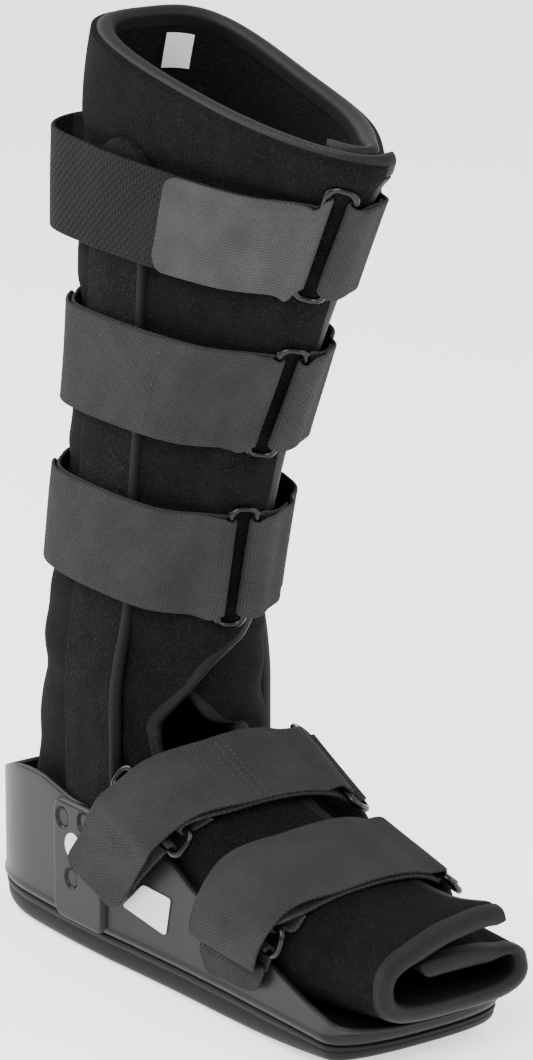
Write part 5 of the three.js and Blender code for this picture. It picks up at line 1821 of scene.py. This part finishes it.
@dataclass
class Studio:
    """A pale floor, soft lights and the camera at the photo's angle.

    Args:
        azimuth: Degrees of the camera round the boot.
        elevation: Degrees of the camera over the floor.
        distance: Metres from the target.
        target: The point the camera looks at.
        lens: Focal length in millimetres.
        lamps: Soft lamps as position, size in metres and power in watts.
        reach: Half the floor's width in millimetres.
        drop: How far the floor lies under the boot.
        paleness: Tone of the floor.
        sky: Strength of the light from all round.
    """

    azimuth: float = -36.0
    elevation: float = 15.5
    distance: float = 2.0
    target: tuple[float, float, float] = (0.0, -0.079, 0.216)
    lens: float = 150.8
    lamps: tuple = (
        ((-1.3, -1.1, 1.5), 1.3, 50.0),
        ((0.9, -1.6, 0.9), 1.2, 18.0),
        ((-0.6, 1.3, 1.3), 1.0, 30.0),
    )
    reach: float = 90000.0
    drop: float = 0.2
    paleness: float = 0.97
    sky: float = 1.35

    def build(self) -> None:
        """Builds the floor, the surroundings, the lamps and the camera."""
        reach = np.linspace(-self.reach, self.reach, 3)
        x, y = np.meshgrid(reach, reach, indexing="ij")
        grid = np.stack([x, y, 0 * x - self.drop], -1)
        corners = quads_of(np.arange(9).reshape(3, 3))
        floor = make_object("floor", grid.reshape(-1, 3), corners[:, ::-1], np.zeros((4, 4, 2)))
        pale = bpy.data.materials.new("pale floor")
        pale.use_nodes = True
        shader = pale.node_tree.nodes["Principled BSDF"]
        shader.inputs["Base Color"].default_value = (self.paleness, self.paleness, self.paleness, 1)
        shader.inputs["Roughness"].default_value = 0.9
        shader.inputs["Emission Color"].default_value = (1, 1, 1, 1)
        shader.inputs["Emission Strength"].default_value = 1.0
        floor.data.materials.append(pale)
        world = bpy.data.worlds.new("studio")
        world.use_nodes = True
        world.node_tree.nodes["Background"].inputs["Color"].default_value = (1, 1, 1, 1)
        world.node_tree.nodes["Background"].inputs["Strength"].default_value = self.sky
        bpy.context.scene.world = world
        for number, (place, size, power) in enumerate(self.lamps):
            self.add_lamp(f"lamp_{number + 1}", Vector(place), size, power)
        self.add_camera()

    def add_lamp(self, name: str, place: Vector, size: float, power: float) -> None:
        """Adds a soft lamp turned to the boot.

        Args:
            name: Name of the lamp.
            place: Its position in metres.
            size: Its width in metres.
            power: Its power in watts.
        """
        light = bpy.data.lights.new(name, "AREA")
        light.size = size
        light.energy = power
        lamp = bpy.data.objects.new(name, light)
        lamp.location = place
        lamp.rotation_euler = (Vector(self.target) - place).to_track_quat("-Z", "Y").to_euler()
        bpy.context.scene.collection.objects.link(lamp)

    def add_camera(self) -> None:
        """Adds the camera on its sphere round the target."""
        azimuth, elevation = math.radians(self.azimuth), math.radians(self.elevation)
        way = Vector((math.sin(azimuth) * math.cos(elevation), -math.cos(azimuth) * math.cos(elevation),
                      math.sin(elevation)))
        data = bpy.data.cameras.new("camera")
        data.lens = self.lens
        data.sensor_width = 36
        camera = bpy.data.objects.new("camera", data)
        camera.location = Vector(self.target) + way * self.distance
        camera.rotation_euler = (-way).to_track_quat("-Z", "Y").to_euler()
        bpy.context.scene.collection.objects.link(camera)
        bpy.context.scene.camera = camera


def main() -> None:
    """Builds the boot piece by piece, then the studio."""
    logging.basicConfig(level=logging.INFO, format="%(name)s %(message)s")
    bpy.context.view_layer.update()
    for part in (Outsole(), Shell(), Uprights(), Liner(), Straps(), Studio()):
        LOG.info("building %s", type(part).__name__)
        part.build()


if __name__ == "__main__":
    main()
